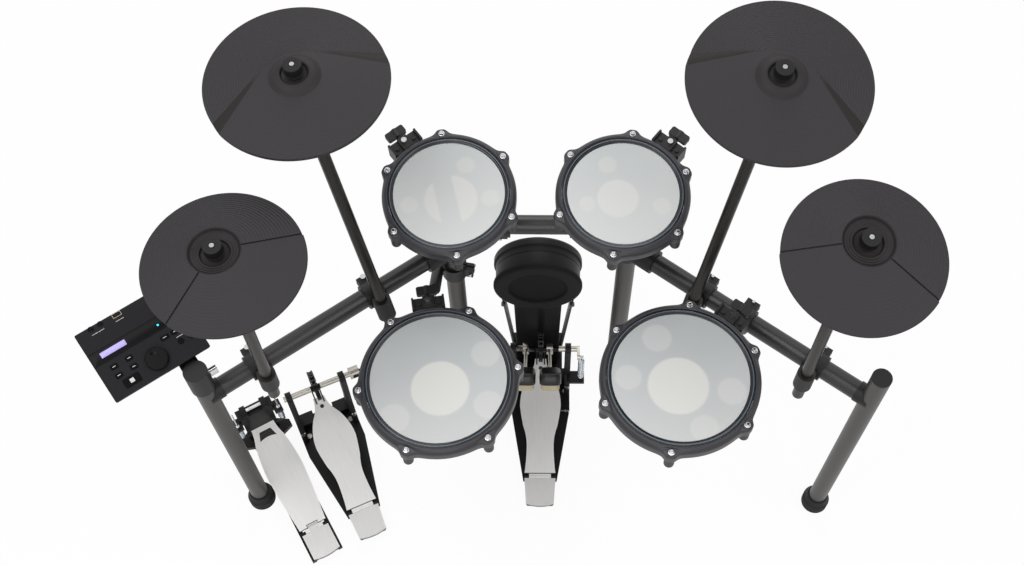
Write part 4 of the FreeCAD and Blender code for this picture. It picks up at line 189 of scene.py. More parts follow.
def rounded(corners, radii, steps=5, closed=True):
    """Outline whose corners become quadratic curves: (1 - s)^2 a + 2 s (1 - s) c + s^2 b, where a and b
    lie a radius before and after the corner c, but no further than 0.45 of the side."""
    c = np.array(corners, float)
    reach = np.broadcast_to(np.array(radii, float), len(c)).copy()
    if not closed:
        reach[[0, -1]] = 0
    back, ahead = np.roll(c, 1, 0) - c, np.roll(c, -1, 0) - c
    back_length = np.maximum(np.linalg.norm(back, axis=1), 1e-9)
    ahead_length = np.maximum(np.linalg.norm(ahead, axis=1), 1e-9)
    reach = np.minimum(reach, 0.45 * np.minimum(back_length, ahead_length))
    a = c + back * (reach / back_length)[:, None]
    b = c + ahead * (reach / ahead_length)[:, None]
    s = np.linspace(0, 1, steps)[None, :, None]
    curve = (1 - s) ** 2 * a[:, None] + 2 * s * (1 - s) * c[:, None] + s ** 2 * b[:, None]
    return curve.reshape(-1, 2)


def grooves(count, start, end, per_groove=6):
    """Stations from start to end with a cosine wave of one period per groove: (station, wave 0 to 1)."""
    t = np.linspace(0, 1, count * per_groove + 1)
    return start + (end - start) * t, 0.5 - 0.5 * np.cos(2 * np.pi * count * t)


def crash_grid(heading):
    """Rings r by columns. The raised zone ends in two tangents to a circle of 54 mm round the bell,
    at the angle touch - acos(54 / r); the foot of each bevel is such a tangent turned by 9.2 degrees. The
    height is a cone plus a rise that grows with r, less a cosine groove. The marks are painted shade:
    1 on the bevel faces and 0.5 on the bell."""
    rim, bell, crown, bow_top = 152.5, 43.0, 25.0, 15.0
    skirt, touch, rise, swing = 54.0, 143.76, 3.0, 9.16
    groove_depth, zone_loss, lip = 0.8, 0.62, 2.2
    r_groove, wave = grooves(24, bell + 4, rim - 2, 8)
    hub = rounded([(8.2, 19), (21.6, 19), (22.6, 23.6), (25, crown), (34, 22.6), (bell, bow_top),
                   (bell + 4, 14.6)], [0, 1.5, 1.2, 2, 9, 0.6, 0], closed=False)
    cone = np.stack([r_groove, bow_top - (r_groove - bell) / (rim - bell) * (bow_top - 2)], -1)
    edge = rounded([(rim - 2, 2.24), (rim, 2), (rim, -2), (rim - 2, -2)], [0, 1, 1, 0], closed=False)
    under = rounded([(rim - 4, -1.6), (bell, 9.5), (25, 14), (20.5, 10.1), (12.5, 10.1), (8.2, 15)], 1.0,
                    closed=False)
    profile = np.concatenate([hub, cone, edge, under])
    r, z = profile[:, 0], profile[:, 1]
    upper = np.concatenate([np.ones(len(hub) + len(cone)), np.clip((edge[:, 1] + 2) / 4, 0, 1),
                            np.zeros(len(under))])
    groove = np.concatenate([np.zeros(len(hub)), wave, np.zeros(len(edge) + len(under))])
    lift = upper * np.clip((r - skirt) / (rim - skirt), 0, 1)
    lead = np.degrees(np.arccos(np.clip(skirt / r, 0, 1)))
    foot_skirt = skirt * np.cos(np.radians(swing))
    foot_lead = np.degrees(np.arccos(np.clip(foot_skirt / np.maximum(r, skirt), 0, 1)))
    ridge = np.where(r > skirt, touch - lead, touch)
    foot = np.maximum(touch + swing - foot_lead, ridge + 0.15)
    zone_t = np.concatenate([[0, 0.002], np.linspace(0.01, 0.99, 110), [0.998, 1]])[:, None]
    bevel_t = np.array([[0.02], [0.5], [0.98]])
    rear_t = np.concatenate([[0, 0.002], np.linspace(0.01, 0.99, 100), [0.998, 1]])[:, None]
    zone = ridge * (2 * zone_t - 1)
    first = ridge + bevel_t * (foot - ridge)
    rear = foot + rear_t * (360 - 2 * foot)
    second = 360 - foot + bevel_t * (foot - ridge)
    counts = [len(zone), 3, len(rear), 3]
    share = np.concatenate([np.ones_like(zone_t), 1 - bevel_t, np.zeros_like(rear_t), bevel_t])
    bevel = np.repeat([0.0, 1.0, 0.0, 1.0], counts)[:, None]
    angle = np.radians(heading + np.concatenate([zone, first, rear, second]))
    height = z + rise * share * lift - (groove_depth - zone_loss * share) * (1 - bevel) * groove
    reach = r + lip * share * np.clip((r - rim + 4) / 4, 0, 1)
    grid = np.stack([reach * np.cos(angle), reach * np.sin(angle), height], -1)
    bell_painted_shade = 0.5 * (r < bell + 0.5) * upper
    return grid, np.maximum(bevel * np.clip((r - skirt) / 20, 0, 1) * upper, bell_painted_shade)


def tint(material, share, colour):
    """Mixes a colour over a finish by a share, which is a constant or a socket: (1 - share) a + share b."""
    shader = material.node_tree.nodes["Principled BSDF"]
    base = shader.inputs["Base Color"].links[0].from_socket
    mixed = add_node(material, "ShaderNodeMix", {0: share, 6: base, 7: linear(colour)}, data_type="RGBA")
    material.node_tree.links.new(mixed.outputs[2], shader.inputs["Base Color"])


cymbal_rubber = finish("charcoal_cymbal_rubber", "#2d2b2d", "#343234", 1.4, (0.5, 0.62), 0.008,
                       {"Specular IOR Level": 0.22})
# Painted shade: the attribute darkens the crash bevels and bells and the small cymbals' slits and cups
# towards dark brown.
shade_and_tone_mark = add_node(cymbal_rubber, "ShaderNodeAttribute", attribute_name="shade_and_tone_mark")
tint(cymbal_rubber, shade_and_tone_mark.outputs["Fac"], "#1d1918")
crashes = {"left_crash": ((-399, 318, 1114), 1.0, -62), "right_crash": ((387, 312, 1129), 7.5, -115.5)}
for name, (place, tilt, heading) in crashes.items():
    grid, crash_painted_shade = crash_grid(heading)
    piece = surface(name + "_rubber", [set_out(grid, place, tilt=tilt)], name, cymbal_rubber, sharp=60,
                    marks=crash_painted_shade)
    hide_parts(name)


# Small cymbals: a similar moulding, with its hub set back from the middle, a ribbed cup round the hub
# and two slits that part the front playing zone from the rest.
HUB_SHIFT = 24.0


def small_cymbal_grid(heading):
    """Rings s by columns t between the cup's edge, about the hub, and the rim, about a centre ahead of
    it: (1 - s) cup + s rim. A slit is a straight ray from the hub, so its angle on ring s is
    psi + asin(s shift sin(psi) / radius). The marks are painted shade: 1 in each slit and 0.7 in the cup."""
    rim, cup, shift, half_zone = 130.0, 42.5, HUB_SHIFT, 65.0
    top, slit, slit_depth = 9.0, 2.6, 2.3
    groove_depth, zone_loss, lip = 0.75, 0.58, 1.2
    s_groove, wave = grooves(17, 0.02, 0.985, 8)
    cup_rise = rounded([(8, -3), (19, -3), (23.4, -2.6), (24.2, 1.6), (26.2, 2.4), (28.4, 1.9), (30.6, 3.1),
                        (32.8, 2.6), (35, 3.9), (37.2, 3.5), (38.6, 4.6), (41.2, 8.2), (cup, top)],
                       [0, 1, 1, 0.8, 1, 1, 1, 1, 1, 1, 1, 0.8, 0], closed=False)
    under = rounded([(1, -2), (0.0, 4.2)], 0, closed=False)
    hub_under = rounded([(30, -1.5), (22, -6), (20.5, -11.3), (12.5, -11.3), (8, -6.4)], 1.0, closed=False)
    s = np.concatenate([np.zeros(len(cup_rise)), s_groove, [0.995, 1, 1, 0.985], under[:, 0],
                        np.zeros(len(hub_under))])
    ring = np.concatenate([cup_rise[:, 0], np.full(len(s_groove) + 4 + len(under), cup), hub_under[:, 0]])
    z = np.concatenate([cup_rise[:, 1], top - 7 * s_groove, [1.9, 1.2, -1.3, -2], under[:, 1],
                        hub_under[:, 1]])
    groove = np.concatenate([np.zeros(len(cup_rise)), wave, np.zeros(4 + len(under) + len(hub_under))])
    open_top = np.concatenate([np.zeros(len(cup_rise)), np.ones(len(s_groove) + 3),
                               np.zeros(1 + len(under) + len(hub_under))])
    radius = ring * (1 - s) + rim * s
    lead = np.degrees(np.arcsin(s * shift * np.sin(np.radians(half_zone)) / radius))
    cut = half_zone + lead + np.degrees(slit * np.array([[-0.5], [-0.49], [0.49], [0.5]]) / radius)
    zone_t = np.concatenate([[0.006], np.linspace(0.015, 0.985, 84), [0.994]])[:, None]
    rear_t = np.concatenate([[0.004], np.linspace(0.01, 0.99, 110), [0.996]])[:, None]
    zone = -cut[0] + 2 * cut[0] * zone_t
    rear = cut[3] + (360 - 2 * cut[3]) * rear_t
    degrees = np.concatenate([zone, cut, rear, 360 - cut[::-1]])
    counts = [len(zone), 4, len(rear), 4]
    share = np.repeat([1.0, 0.0, 0.0, 0.0], counts)[:, None]
    sunk = np.concatenate([np.zeros(len(zone)), [0, 1, 1, 0], np.zeros(len(rear)), [0, 1, 1, 0]])[:, None]
    angle = np.radians(heading + degrees)
    ahead = np.radians(heading)
    grown = radius + lip * share * np.clip((s - 0.97) / 0.03, 0, 1)
    height = z - (groove_depth - zone_loss * share) * groove * (1 - sunk) - slit_depth * sunk * open_top
    grid = np.stack([s * shift * np.cos(ahead) + grown * np.cos(angle),
                     s * shift * np.sin(ahead) + grown * np.sin(angle), height], -1)
    cup_painted_shade = np.concatenate([np.full(len(cup_rise), 0.7), np.zeros(len(s) - len(cup_rise))])
    return grid, np.maximum(sunk * open_top, cup_painted_shade)


small_cymbals = {"hihat_cymbal": ((-494, 12, 1050), 0.0, -50), "right_cymbal": ((501, 16, 1077), 9.5, -108)}
for name, (rim_place, tilt, heading) in small_cymbals.items():
    back = np.radians(heading + 180)
    hub = set_out(np.array([HUB_SHIFT * np.cos(back), HUB_SHIFT * np.sin(back), 0]), rim_place, tilt=tilt)
    hub_place = (hub - kit_origin) * 1000
    grid, slits = small_cymbal_grid(heading)
    piece = surface(name + "_rubber", [set_out(grid, hub_place, tilt=tilt)], name, cymbal_rubber, sharp=75,
                    marks=slits)
    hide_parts(name)


# Screw caps: black plastic knobs on the threaded stems, each with a felt neck below that holds the
# cymbal down. The bright stem shows in the hole on top.
def spun(profile, steps=64):
    """Surface of revolution: the profile's radius goes round z by cosine and sine of the angle."""
    angle = np.linspace(0, 2 * np.pi, steps, endpoint=False)[:, None]
    r, z = profile[:, 0], profile[:, 1]
    return np.stack([r * np.cos(angle), r * np.sin(angle), np.broadcast_to(z, (steps, len(z)))], -1)


CRASH_CAP_FOOT, SMALL_CAP_FOOT = 28.2, 6.8
cap_profile = rounded([(4.2, 1.5), (15.2, 0.8), (16.2, 1.8), (15.6, 17), (14.4, 18), (5.6, 18), (5.2, 16.8),
                       (4.2, 16.8)], [0, 1, 1, 1, 1, 0.4, 0.3, 0])
neck_profile = rounded([(4.2, 1.4), (14.2, 1.4), (14.6, -5.4), (4.2, -5.4)], [0, 0.5, 1, 0])
caps, necks = [], []
for group, foot, back in ((crashes, CRASH_CAP_FOOT, 0), (small_cymbals, SMALL_CAP_FOOT, HUB_SHIFT)):
    for place, tilt, heading in group.values():
        turn = np.radians(heading)
        offset = [-back * np.cos(turn), -back * np.sin(turn), foot]
        caps.append(set_out(spun(cap_profile) + offset, place, tilt=tilt))
        necks.append(set_out(spun(neck_profile) + offset, place, tilt=tilt))
cap_plastic = finish("moulded_black_plastic", "#0d0d0e", "#171718", 1.2, (0.45, 0.58), 0.03,
                     {"Specular IOR Level": 0.25})
piece = surface("screw_caps", caps, "stand", cap_plastic)
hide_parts("cymbal_caps")
felt_black = finish("black_felt", "#0d0d0d", "#1a1a1a", 0.9, (0.85, 0.95), 0.3)
surface("cap_necks", necks, "stand", felt_black)

# Pad shells: shallow black plastic pans with lugs round the wall, a rod bracket and its wing knob. Each
# pad is given by its place, tilt, head radius and the angle of its first lug.
shell_plastic = finish("pad_shell_plastic", "#0c0c0d", "#181819", 1.8, (0.4, 0.55), 0.04,
                       {"Specular IOR Level": 0.4})
pads = {"left_tom": ((-168, 307, 797), 7.4, 103.5, 38.2), "right_tom": ((152, 304, 806), 6.5, 103.5, 20.8),
        "snare": ((-183, -5, 662), 1.5, 125.0, 9.4), "floor_tom": ((254, -10, 688), 1.0, 125.0, 21.0)}
dress(shell_plastic, *[name + "_shell" for name in pads])


# Hoops: charcoal mouldings that draw the head down, with an ear for each of the six key bolts. The
# section swells from a plain rim to the ear and back.
RIM_WIDTH = 21


def hoop_grid(head, first_lug):
    """Section by angle: plain section plus share times (ear section - plain section), where the share
    is 1 / (1 + (s / 12)^4) of the arc length s in millimetres from the nearest lug."""
    rim, inner, ear_half = head + RIM_WIDTH, head + 9.5, 12
    plain = [(inner, 0.3), (inner, 3.4), (head + 11.2, 4.5), (head + 14, 4.2), (head + 17.5, 1.2),
             (rim - 0.6, -3.4), (rim, -8), (rim, -24), (rim - 4, -24), (rim - 4, -9), (inner, -5)]
    ear = [(inner, 0.3), (inner, 3.4), (head + 11.2, 4.5), (head + 13.2, 3.9), (head + 15, -0.8),
           (rim + 9.4, -1.2), (rim + 10.4, -3.4), (rim + 10.4, -24), (rim - 4, -24), (rim - 4, -9),
           (inner, -5)]
    radii = [0.3, 1.0, 1.2, 1.5, 3.0, 2.5, 3.0, 1.0, 0.5, 2.0, 1.0]
    low, high = rounded(plain, radii, 6), rounded(ear, radii, 6)
    angle = np.linspace(0, 2 * np.pi, 540, endpoint=False)
    nearest = (angle - np.radians(first_lug) + np.pi / 6) % (np.pi / 3) - np.pi / 6
    share = (1 / (1 + (nearest * rim / ear_half) ** 4))[:, None]
    r = low[:, 0] + share * (high - low)[:, 0]
    z = low[:, 1] + share * (high - low)[:, 1]
    return np.stack([r * np.cos(angle)[:, None], r * np.sin(angle)[:, None], z], -1)


hoop_plastic = finish("charcoal_hoop_moulding", "#252529", "#302f34", 1.5, (0.36, 0.48), 0.03,
                      {"Specular IOR Level": 0.45})
for name, (place, tilt, head, first_lug) in pads.items():
    grid = set_out(hoop_grid(head, first_lug), place, tilt=tilt)
    piece = surface(name + "_hoop_ring", [grid], name, hoop_plastic)
    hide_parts(name + "_hoop")


# Head collars: gloss black rings between hoop and head, with a bead that carries a thin blue-grey
# band, a painted highlight drawn by the finish at one distance from the pad's middle.
def own_frame(material, place, yaw=0.0, tilt=0.0):
    """Object coordinates as seen from a place with turned and tipped axes, as a socket."""
    where = add_node(material, "ShaderNodeTexCoord")
    local = add_node(material, "ShaderNodeMapping",
                     {"Vector": where.outputs["Object"], "Location": place.tolist(),
                      "Rotation": (np.radians(tilt), 0, np.radians(yaw))}, vector_type="TEXTURE")
    return local.outputs[0]


def calc(material, operation, *values):
    """Result of one operation on numbers and sockets, as a socket."""
    return add_node(material, "ShaderNodeMath", dict(enumerate(values)), operation=operation).outputs[0]


HIGHLIGHT_FROM_HEAD, HIGHLIGHT_HALF_WIDTH = 5.6, 0.8
for name, (place, tilt, head, _) in pads.items():
    collar = finish(name + "_gloss_collar", "#08080a", "#0f1013", 30.0, (0.16, 0.22), 0.001)
    local = own_frame(collar, set_out(np.zeros(3), place), tilt=tilt)
    flat = add_node(collar, "ShaderNodeVectorMath", {0: local, 1: (1, 1, 0)}, operation="MULTIPLY")
    radius = add_node(collar, "ShaderNodeVectorMath", {0: flat.outputs[0]}, operation="LENGTH")
    # Painted highlight: a thin blue-grey band on the bead, at one distance from the pad's middle.
    painted_highlight = calc(collar, "COMPARE", radius.outputs["Value"], (head + HIGHLIGHT_FROM_HEAD) / 1000,
                HIGHLIGHT_HALF_WIDTH / 1000)
    tint(collar, painted_highlight, "#5b6b7c")
    section = rounded([(head - 0.8, 0.25), (head + 0.4, 1.4), (head + 3.4, 1.8), (head + 4.6, 3.0),
                       (head + 6.4, 3.0), (head + 7.6, 1.8), (head + 9.3, 2.0), (head + 9.3, 0.25)],
                      [0.2, 0.8, 1, 0.8, 0.8, 1, 0.3, 0.1])
    piece = surface(name + "_collar", [set_out(spun(section, 240), place, tilt=tilt)], name, collar)


# Key bolts: chrome drum-key bolts, square headed on a round flange, six to a hoop. They stand in the
# hoop's ears and draw the hoop down.
def key_bolt_grid():
    """Round flange below a square head: the outline's power n goes from 2, a circle, to 7 in
    r = size / (|cos|^n + |sin|^n)^(1/n)."""
    profile = rounded([(0.01, 5.5), (3.0, 5.4), (3.5, 4.6), (3.6, 0.6), (5.6, 0.3), (6.1, -0.5), (6.1, -1.6),
                       (0.01, -1.6)], [0, 0.8, 0.6, 0.5, 0.5, 0.5, 0.2, 0], closed=False)
    angle = np.linspace(0, 2 * np.pi, 32, endpoint=False)[:, None]
    power = np.where(profile[:, 1] > 0.55, 7.0, 2.0)
    r = profile[:, 0] / (np.abs(np.cos(angle)) ** power + np.abs(np.sin(angle)) ** power) ** (1 / power)
    return np.stack([r * np.cos(angle), r * np.sin(angle), np.broadcast_to(profile[:, 1], r.shape)], -1)


for name, (place, tilt, head, first_lug) in pads.items():
    around = np.radians(first_lug + 60 * np.arange(6))
    rim = head + RIM_WIDTH
    bolts = [set_out(key_bolt_grid() + [rim * np.cos(a), rim * np.sin(a), 0], place, tilt=tilt)
             for a in around]
    surface(name + "_key_bolts", bolts, name, chrome, wrap_v=False)

# Heads: pale woven mesh drawn tight over the shell. Painted light makes each head lighter at the front
# and greyer towards the rear, and the two large heads are darker as painted shade. The sensor plate
# and the ribs under it show through as faint lighter discs, each given by its middle, radius and
# strength. A strip parts the left tom's plate.
plates = {"left_tom": [((4, -13), 49.0, 0.6), ((-73, -24), 16.0, 0.4), ((76, -9), 17.0, 0.4),
                       ((29, 58), 17.0, 0.35)],
          "right_tom": [((-10, -11), 38.0, 0.6), ((-66, -22), 15.0, 0.35), ((70, -26), 16.0, 0.4),
                        ((-28, 58), 17.0, 0.35)],
          "snare": [((4, -19), 53.0, 0.75), ((84, 50), 26.0, 0.3), ((92, -50), 27.0, 0.3),
                    ((-76, -78), 28.0, 0.32)],
          "floor_tom": [((-5, -18), 55.0, 0.75), ((-40, 76), 27.0, 0.32), ((-94, -2), 24.0, 0.32),
                        ((90, -28), 26.0, 0.32), ((38, -100), 26.0, 0.3)]}
LARGE_HEAD, LARGE_PLATE, SOFT_EDGE, HEAD_OVERLAP = 110, 40, 2.5, 5.0
STRIP_ACROSS, STRIP_AT, STRIP_HALF, STRIP_CLEAR = (0.97, 0.24, 0), -7, 16, 20
for name, (place, tilt, head, _) in pads.items():
    # Painted shade: the two large, lower heads get darker colours than the small ones.
    cloth_and_painted_shade = ("#b3b7b9", "#b9bcbe") if head > LARGE_HEAD else ("#c8cccc", "#cdd0d0")
    mesh_cloth = finish(name + "_mesh_cloth", *cloth_and_painted_shade, 60.0, (0.46, 0.52), 0.01)
    local = own_frame(mesh_cloth, set_out(np.zeros(3), place), tilt=tilt)
    axes = add_node(mesh_cloth, "ShaderNodeSeparateXYZ", {0: local})
    # Painted light: lighter towards the front of the head, greyer towards the rear.
    shade = add_node(mesh_cloth, "ShaderNodeMapRange",
                     {"Value": axes.outputs["Y"], "From Min": -head / 1000, "From Max": head / 1000,
                      "To Min": 0.5, "To Max": 0.0})
    tint(mesh_cloth, shade.outputs[0], "#dfe0de")
    for (x, y), size, strength in plates[name]:
        spot = add_node(mesh_cloth, "ShaderNodeVectorMath", {0: local, 1: (x / 1000, y / 1000, 0)},
                        operation="DISTANCE")
        inside = add_node(mesh_cloth, "ShaderNodeMapRange",
                          {"Value": spot.outputs["Value"], "From Min": (size + SOFT_EDGE) / 1000,
                           "From Max": (size - SOFT_EDGE) / 1000, "To Min": 0.0, "To Max": strength})
        share = inside.outputs[0]
        if name == "left_tom" and size > LARGE_PLATE:
            slant = add_node(mesh_cloth, "ShaderNodeVectorMath", {0: local, 1: STRIP_ACROSS},
                             operation="DOT_PRODUCT")
            away = calc(mesh_cloth, "SUBTRACT", slant.outputs["Value"], STRIP_AT / 1000)
            beside = add_node(mesh_cloth, "ShaderNodeMapRange",
                              {"Value": calc(mesh_cloth, "ABSOLUTE", away), "From Min": STRIP_HALF / 1000,
                               "From Max": STRIP_CLEAR / 1000, "To Min": 0.0, "To Max": 1.0})
            share = calc(mesh_cloth, "MULTIPLY", share, beside.outputs[0])
        tint(mesh_cloth, share, "#e4e3df")
    reach = head + HEAD_OVERLAP
    disc = rounded([(0, 0), (reach, 0), (reach, -0.3), (0, -0.3)], 0, 2, closed=False)
    rings = np.concatenate([np.stack([np.linspace(0, reach, 24), np.zeros(24)], -1), disc[4:]])
    piece = surface(name + "_mesh_head", [set_out(spun(rings, 180), place, tilt=tilt)], name, mesh_cloth,
                    wrap_v=False)
    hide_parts(name + "_head")


# Kick pad: a short drum lying on its side, a rubber face with a sunk striking disc in a front ring,
# and a moulded body with a seam and a wider rear rim.
KICK_PLACE, KICK_STEPS, DISC_RADIUS, DISC_DEPTH = (-4, 323, 400), 128, 62, 10


def kick_points(profile):
    """Profile of radius and depth spun round the drum's level axis, which points away from the player."""
    ring = spun(profile, KICK_STEPS)
    return set_out(np.stack([ring[..., 0], ring[..., 2], ring[..., 1]], -1), KICK_PLACE)


kick_rubber = finish("kick_face_rubber", "#19191a", "#232324", 1.6, (0.6, 0.72), 0.03,
                     {"Specular IOR Level": 0.14})
face = rounded([(0, 6), (60.5, 6), (63, 0.4), (66, 0), (88, 0), (94, 4), (94, 11.8), (83, 11.8), (83, 15.8),
                (0, 15.8)], [0, 2, 2, 2, 6, 5, 1, 0.5, 0.5, 0], 6, closed=False)
shade_and_tone_mark = add_node(kick_rubber, "ShaderNodeAttribute", attribute_name="shade_and_tone_mark")
tint(kick_rubber, shade_and_tone_mark.outputs["Fac"], "#0b0b0c")
in_disc = (face[:, 0] < DISC_RADIUS) * (face[:, 1] < DISC_DEPTH) * 1.0
sunk = np.broadcast_to(in_disc, (KICK_STEPS, len(face)))
piece = surface("kick_face_rubber", [kick_points(face)], "stand", kick_rubber, wrap_v=False, marks=sunk)
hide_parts("kick_face")
drum = rounded([(0, 16), (83.2, 16), (83.2, 12), (89, 12), (89.6, 40), (88.6, 41), (89.6, 42), (90, 54),
                (94, 56), (94, 70), (89, 76), (0, 76)],
               [0, 0.5, 0.5, 2, 0.5, 0.5, 0.5, 1, 1.5, 5, 4, 0], 6, closed=False)
kick_plastic = finish("kick_body_plastic", "#121112", "#1a191a", 2.2, (0.36, 0.5), 0.03,
                      {"Specular IOR Level": 0.2})
piece = surface("kick_body", [kick_points(drum)], "stand", kick_plastic, wrap_v=False)
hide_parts("kick_drum")

# Kick tower and pedal floor plates: pressed steel in satin black powder coat. The strips bracing the
# tower are a light grey as painted light on their lit sides. Pale round bolt heads sit on the floor
# plates beside the boards, brightened to near white as a painted highlight on pale zinc.
black_steel = finish("satin_black_steel", "#0a0a0b", "#151516", 2.0, (0.36, 0.5), 0.02,
                     {"Specular IOR Level": 0.2})
dress(black_steel, "kick_tower", "main_base", "slave_base", "hihat_base", "drive_shaft")
# Painted light: the braces are a lighter grey for the light on their sides.
brace_steel_painted_light = finish("brace_steel_with_painted_light", "#4c4a49", "#615f5d", 8.0, (0.32, 0.45), 0.005, {"Metallic": 0.6})
dress(brace_steel_painted_light, "kick_braces")
FLOOR_PLATE_TOP = 6.0
# Painted highlight: the pale zinc of the bolt heads is brightened to near white, with no metal.
zinc_with_painted_highlight = finish("zinc_bolts_with_painted_highlight", "#f0e8d6", "#faf4e6", 6.0, (0.3, 0.4), 0.004)
bolt_head = rounded([(0, 3.4), (4.8, 3.4), (6, 2.4), (6, -0.2), (0, -0.2)], [0, 1, 0.6, 0.1, 0], 4,
                    closed=False)
bolt_heads = [set_out(spun(bolt_head, 40), (x, y, FLOOR_PLATE_TOP))
              for x, y in ((-529.0, 147.0), (-438.0, 191.0), (60.8, 264.5), (-54.8, 264.5))]
surface("base_bolt_heads", bolt_heads, "stand", zinc_with_painted_highlight, wrap_v=False)


# Footboards and heel plates: cast aluminium, linished along the board so that fine lines run from
# heel to toe, brightened to near white with little metal as painted light. The main board is a darker
# copy as painted shade. The heel plates lie on black rubber, which shows below their edge.
PEDALS = {"main": ((3.0, -21.0, 0.0), 0.0), "slave": ((-364.0, -91.0, 0.0), 24.8),
          "hihat": ((-462.0, -136.0, 0.0), 30.3)}
HINGE_Y, HINGE_Z, KICK_SLOPE, HIHAT_SLOPE = 68.0, 20.0, 19.5, 17.0
LINE_SPACING, HEEL_YAW, HEEL_RUBBER_TOP, BOARD_METALLIC = 0.9, 18.0, 19.5, 0.1


def linished(name, yaw, dark, light):
    """Brushed finish: noise stretched fifty times along the board and laid 0.9 mm apart across it."""
    made = finish(name, dark, light, 120.0, (0.3, 0.42), 0.01, {"Metallic": BOARD_METALLIC})
    where = add_node(made, "ShaderNodeTexCoord")
    along = add_node(made, "ShaderNodeMapping",
                     {"Vector": where.outputs["Object"], "Rotation": (0, 0, np.radians(-yaw))})
    thin = add_node(made, "ShaderNodeVectorMath", {0: along.outputs[0], 1: (1.0, 0.02, 0.02)},
                    operation="MULTIPLY")
    lines = add_node(made, "ShaderNodeTexNoise",
                     {"Vector": thin.outputs[0], "Scale": 1000 / LINE_SPACING, "Detail": 3.0})
    shader = made.node_tree.nodes["Principled BSDF"]
    base = shader.inputs["Base Color"].links[0].from_socket
    veil = add_node(made, "ShaderNodeMapRange", {"Value": lines.outputs[0], "To Min": 0.86, "To Max": 1.08})
    brushed = add_node(made, "ShaderNodeVectorMath", {0: base, 1: veil.outputs[0]}, operation="MULTIPLY")
    scratch = add_node(made, "ShaderNodeBump",
                       {"Height": lines.outputs[0], "Strength": 0.25, "Distance": 0.0001})
    made.node_tree.links.new(brushed.outputs[0], shader.inputs["Base Color"])
    made.node_tree.links.new(scratch.outputs[0], shader.inputs["Normal"])
    return made


def painted(material, place, yaw, slope, boxes):
    """Darkens a finish inside boxes of x, y and z ranges in a board's own frame, in millimetres from its
    hinge: a box's share is the product of three tests |axis - middle| <= half."""
    hinge = set_out(np.array([0, HINGE_Y, HINGE_Z]), place, yaw)
    axes = add_node(material, "ShaderNodeSeparateXYZ", {0: own_frame(material, hinge, yaw, slope)})
    for box in boxes:
        share = 1.0
        for axis, (least, most) in zip("XYZ", box):
            middle, half = (least + most) / 2000, (most - least) / 2000
            test = calc(material, "COMPARE", axes.outputs[axis], middle, half)
            share = calc(material, "MULTIPLY", test, share)
        tint(material, share, "#161617")


# Dark boxes: the thin strips near the hinge are painted shade in its gap, and the small box at 240 to 252 mm
# on the kick boards is painted shade in a bolt hole. The other boxes darken the toe end and its yoke.
kick_dark_parts_and_shade = [((-60, 60), (6.4, 8.4), (-9, 9)), ((-60, 60), (268.2, 300), (-9, 9)),
             ((-11, 11), (253, 300), (3.03, 9)), ((-5, 5), (240, 252), (-9, 2.9))]
hihat_dark_parts_and_shade = [((-60, -11), (6.4, 8.4), (-9, 9)), ((11, 60), (6.4, 8.4), (-9, 9)),
              ((-13, 13), (12.2, 14.6), (-9, 9)), ((-13.4, -11.9), (6, 14.6), (-9, 9)),
              ((11.9, 13.4), (6, 14.6), (-9, 9)), ((-21, 21), (225, 247), (-9, 2.9)),
              ((-80, 80), (200, 300), (-60, -3.03))]
# Painted light: the boards are near white; the main board gets darker colours as painted shade.
for pedal, slope, dark, dull, bright in (("main", KICK_SLOPE, kick_dark_parts_and_shade, "#dddcda", "#eae9e7"),
                                         ("slave", KICK_SLOPE, kick_dark_parts_and_shade, "#e8e7e5", "#f4f3f1"),
                                         ("hihat", HIHAT_SLOPE, hihat_dark_parts_and_shade, "#e8e7e5", "#f4f3f1")):
    place, yaw = PEDALS[pedal]
    board = linished(pedal + "_linished_aluminium", yaw, dull, bright)
    painted(board, place, yaw, slope, dark)
    dress(board, pedal + "_footboard")
# Painted light: the heel plates are brightened to near white like the boards.
heel_metal = linished("heel_linished_aluminium", HEEL_YAW, "#e0dfdd", "#eeedeb")
where = add_node(heel_metal, "ShaderNodeTexCoord")
axes = add_node(heel_metal, "ShaderNodeSeparateXYZ", {0: where.outputs["Object"]})
top = calc(heel_metal, "GREATER_THAN", axes.outputs["Z"], HEEL_RUBBER_TOP / 1000)
tint(heel_metal, calc(heel_metal, "SUBTRACT", 1.0, top), "#161616")
shader = heel_metal.node_tree.nodes["Principled BSDF"]
heel_metal.node_tree.links.new(calc(heel_metal, "MULTIPLY", top, BOARD_METALLIC), shader.inputs["Metallic"])
dress(heel_metal, "heel_plates")

# Axles and cams: turned steel with a faint warm tone. The slave axle is dark on its cam, where the
# chain lies, and the main axle is dark across its middle.
for pedal, dark in (("slave", ((-11, 11), (150, 330), (60, 260))),
                    ("main", ((-66, 40), (150, 330), (100, 260)))):
    place, yaw = PEDALS[pedal]
    steel = finish(pedal + "_turned_steel", "#9c988f", "#b9b5ad", 20.0, (0.24, 0.34), 0.002,
                   {"Metallic": 0.9})
    painted(steel, place, yaw, 0.0, [dark])
    dress(steel, pedal + "_axle")


# Beaters: a steel rod in a hub on the axle, with a moulded black head backed by cream felt. The rod is
# the solid's own, without its head; the head is a rounded block with softened edges.
def copied(name, label, body, material, drop=None):
    """Copy of a CAD node's mesh as a new piece, merged, without the vertices that a test picks out."""
    work = bmesh.new()
    work.from_mesh(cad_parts[name].data)
    bmesh.ops.remove_doubles(work, verts=work.verts, dist=1e-6)
    if drop is not None:
        bmesh.ops.delete(work, geom=[v for v in work.verts if drop(v.co)], context="VERTS")
    mesh = bpy.data.meshes.new(label)
    work.to_mesh(mesh)
    work.free()
    return stood(label, mesh, material, 30, body)


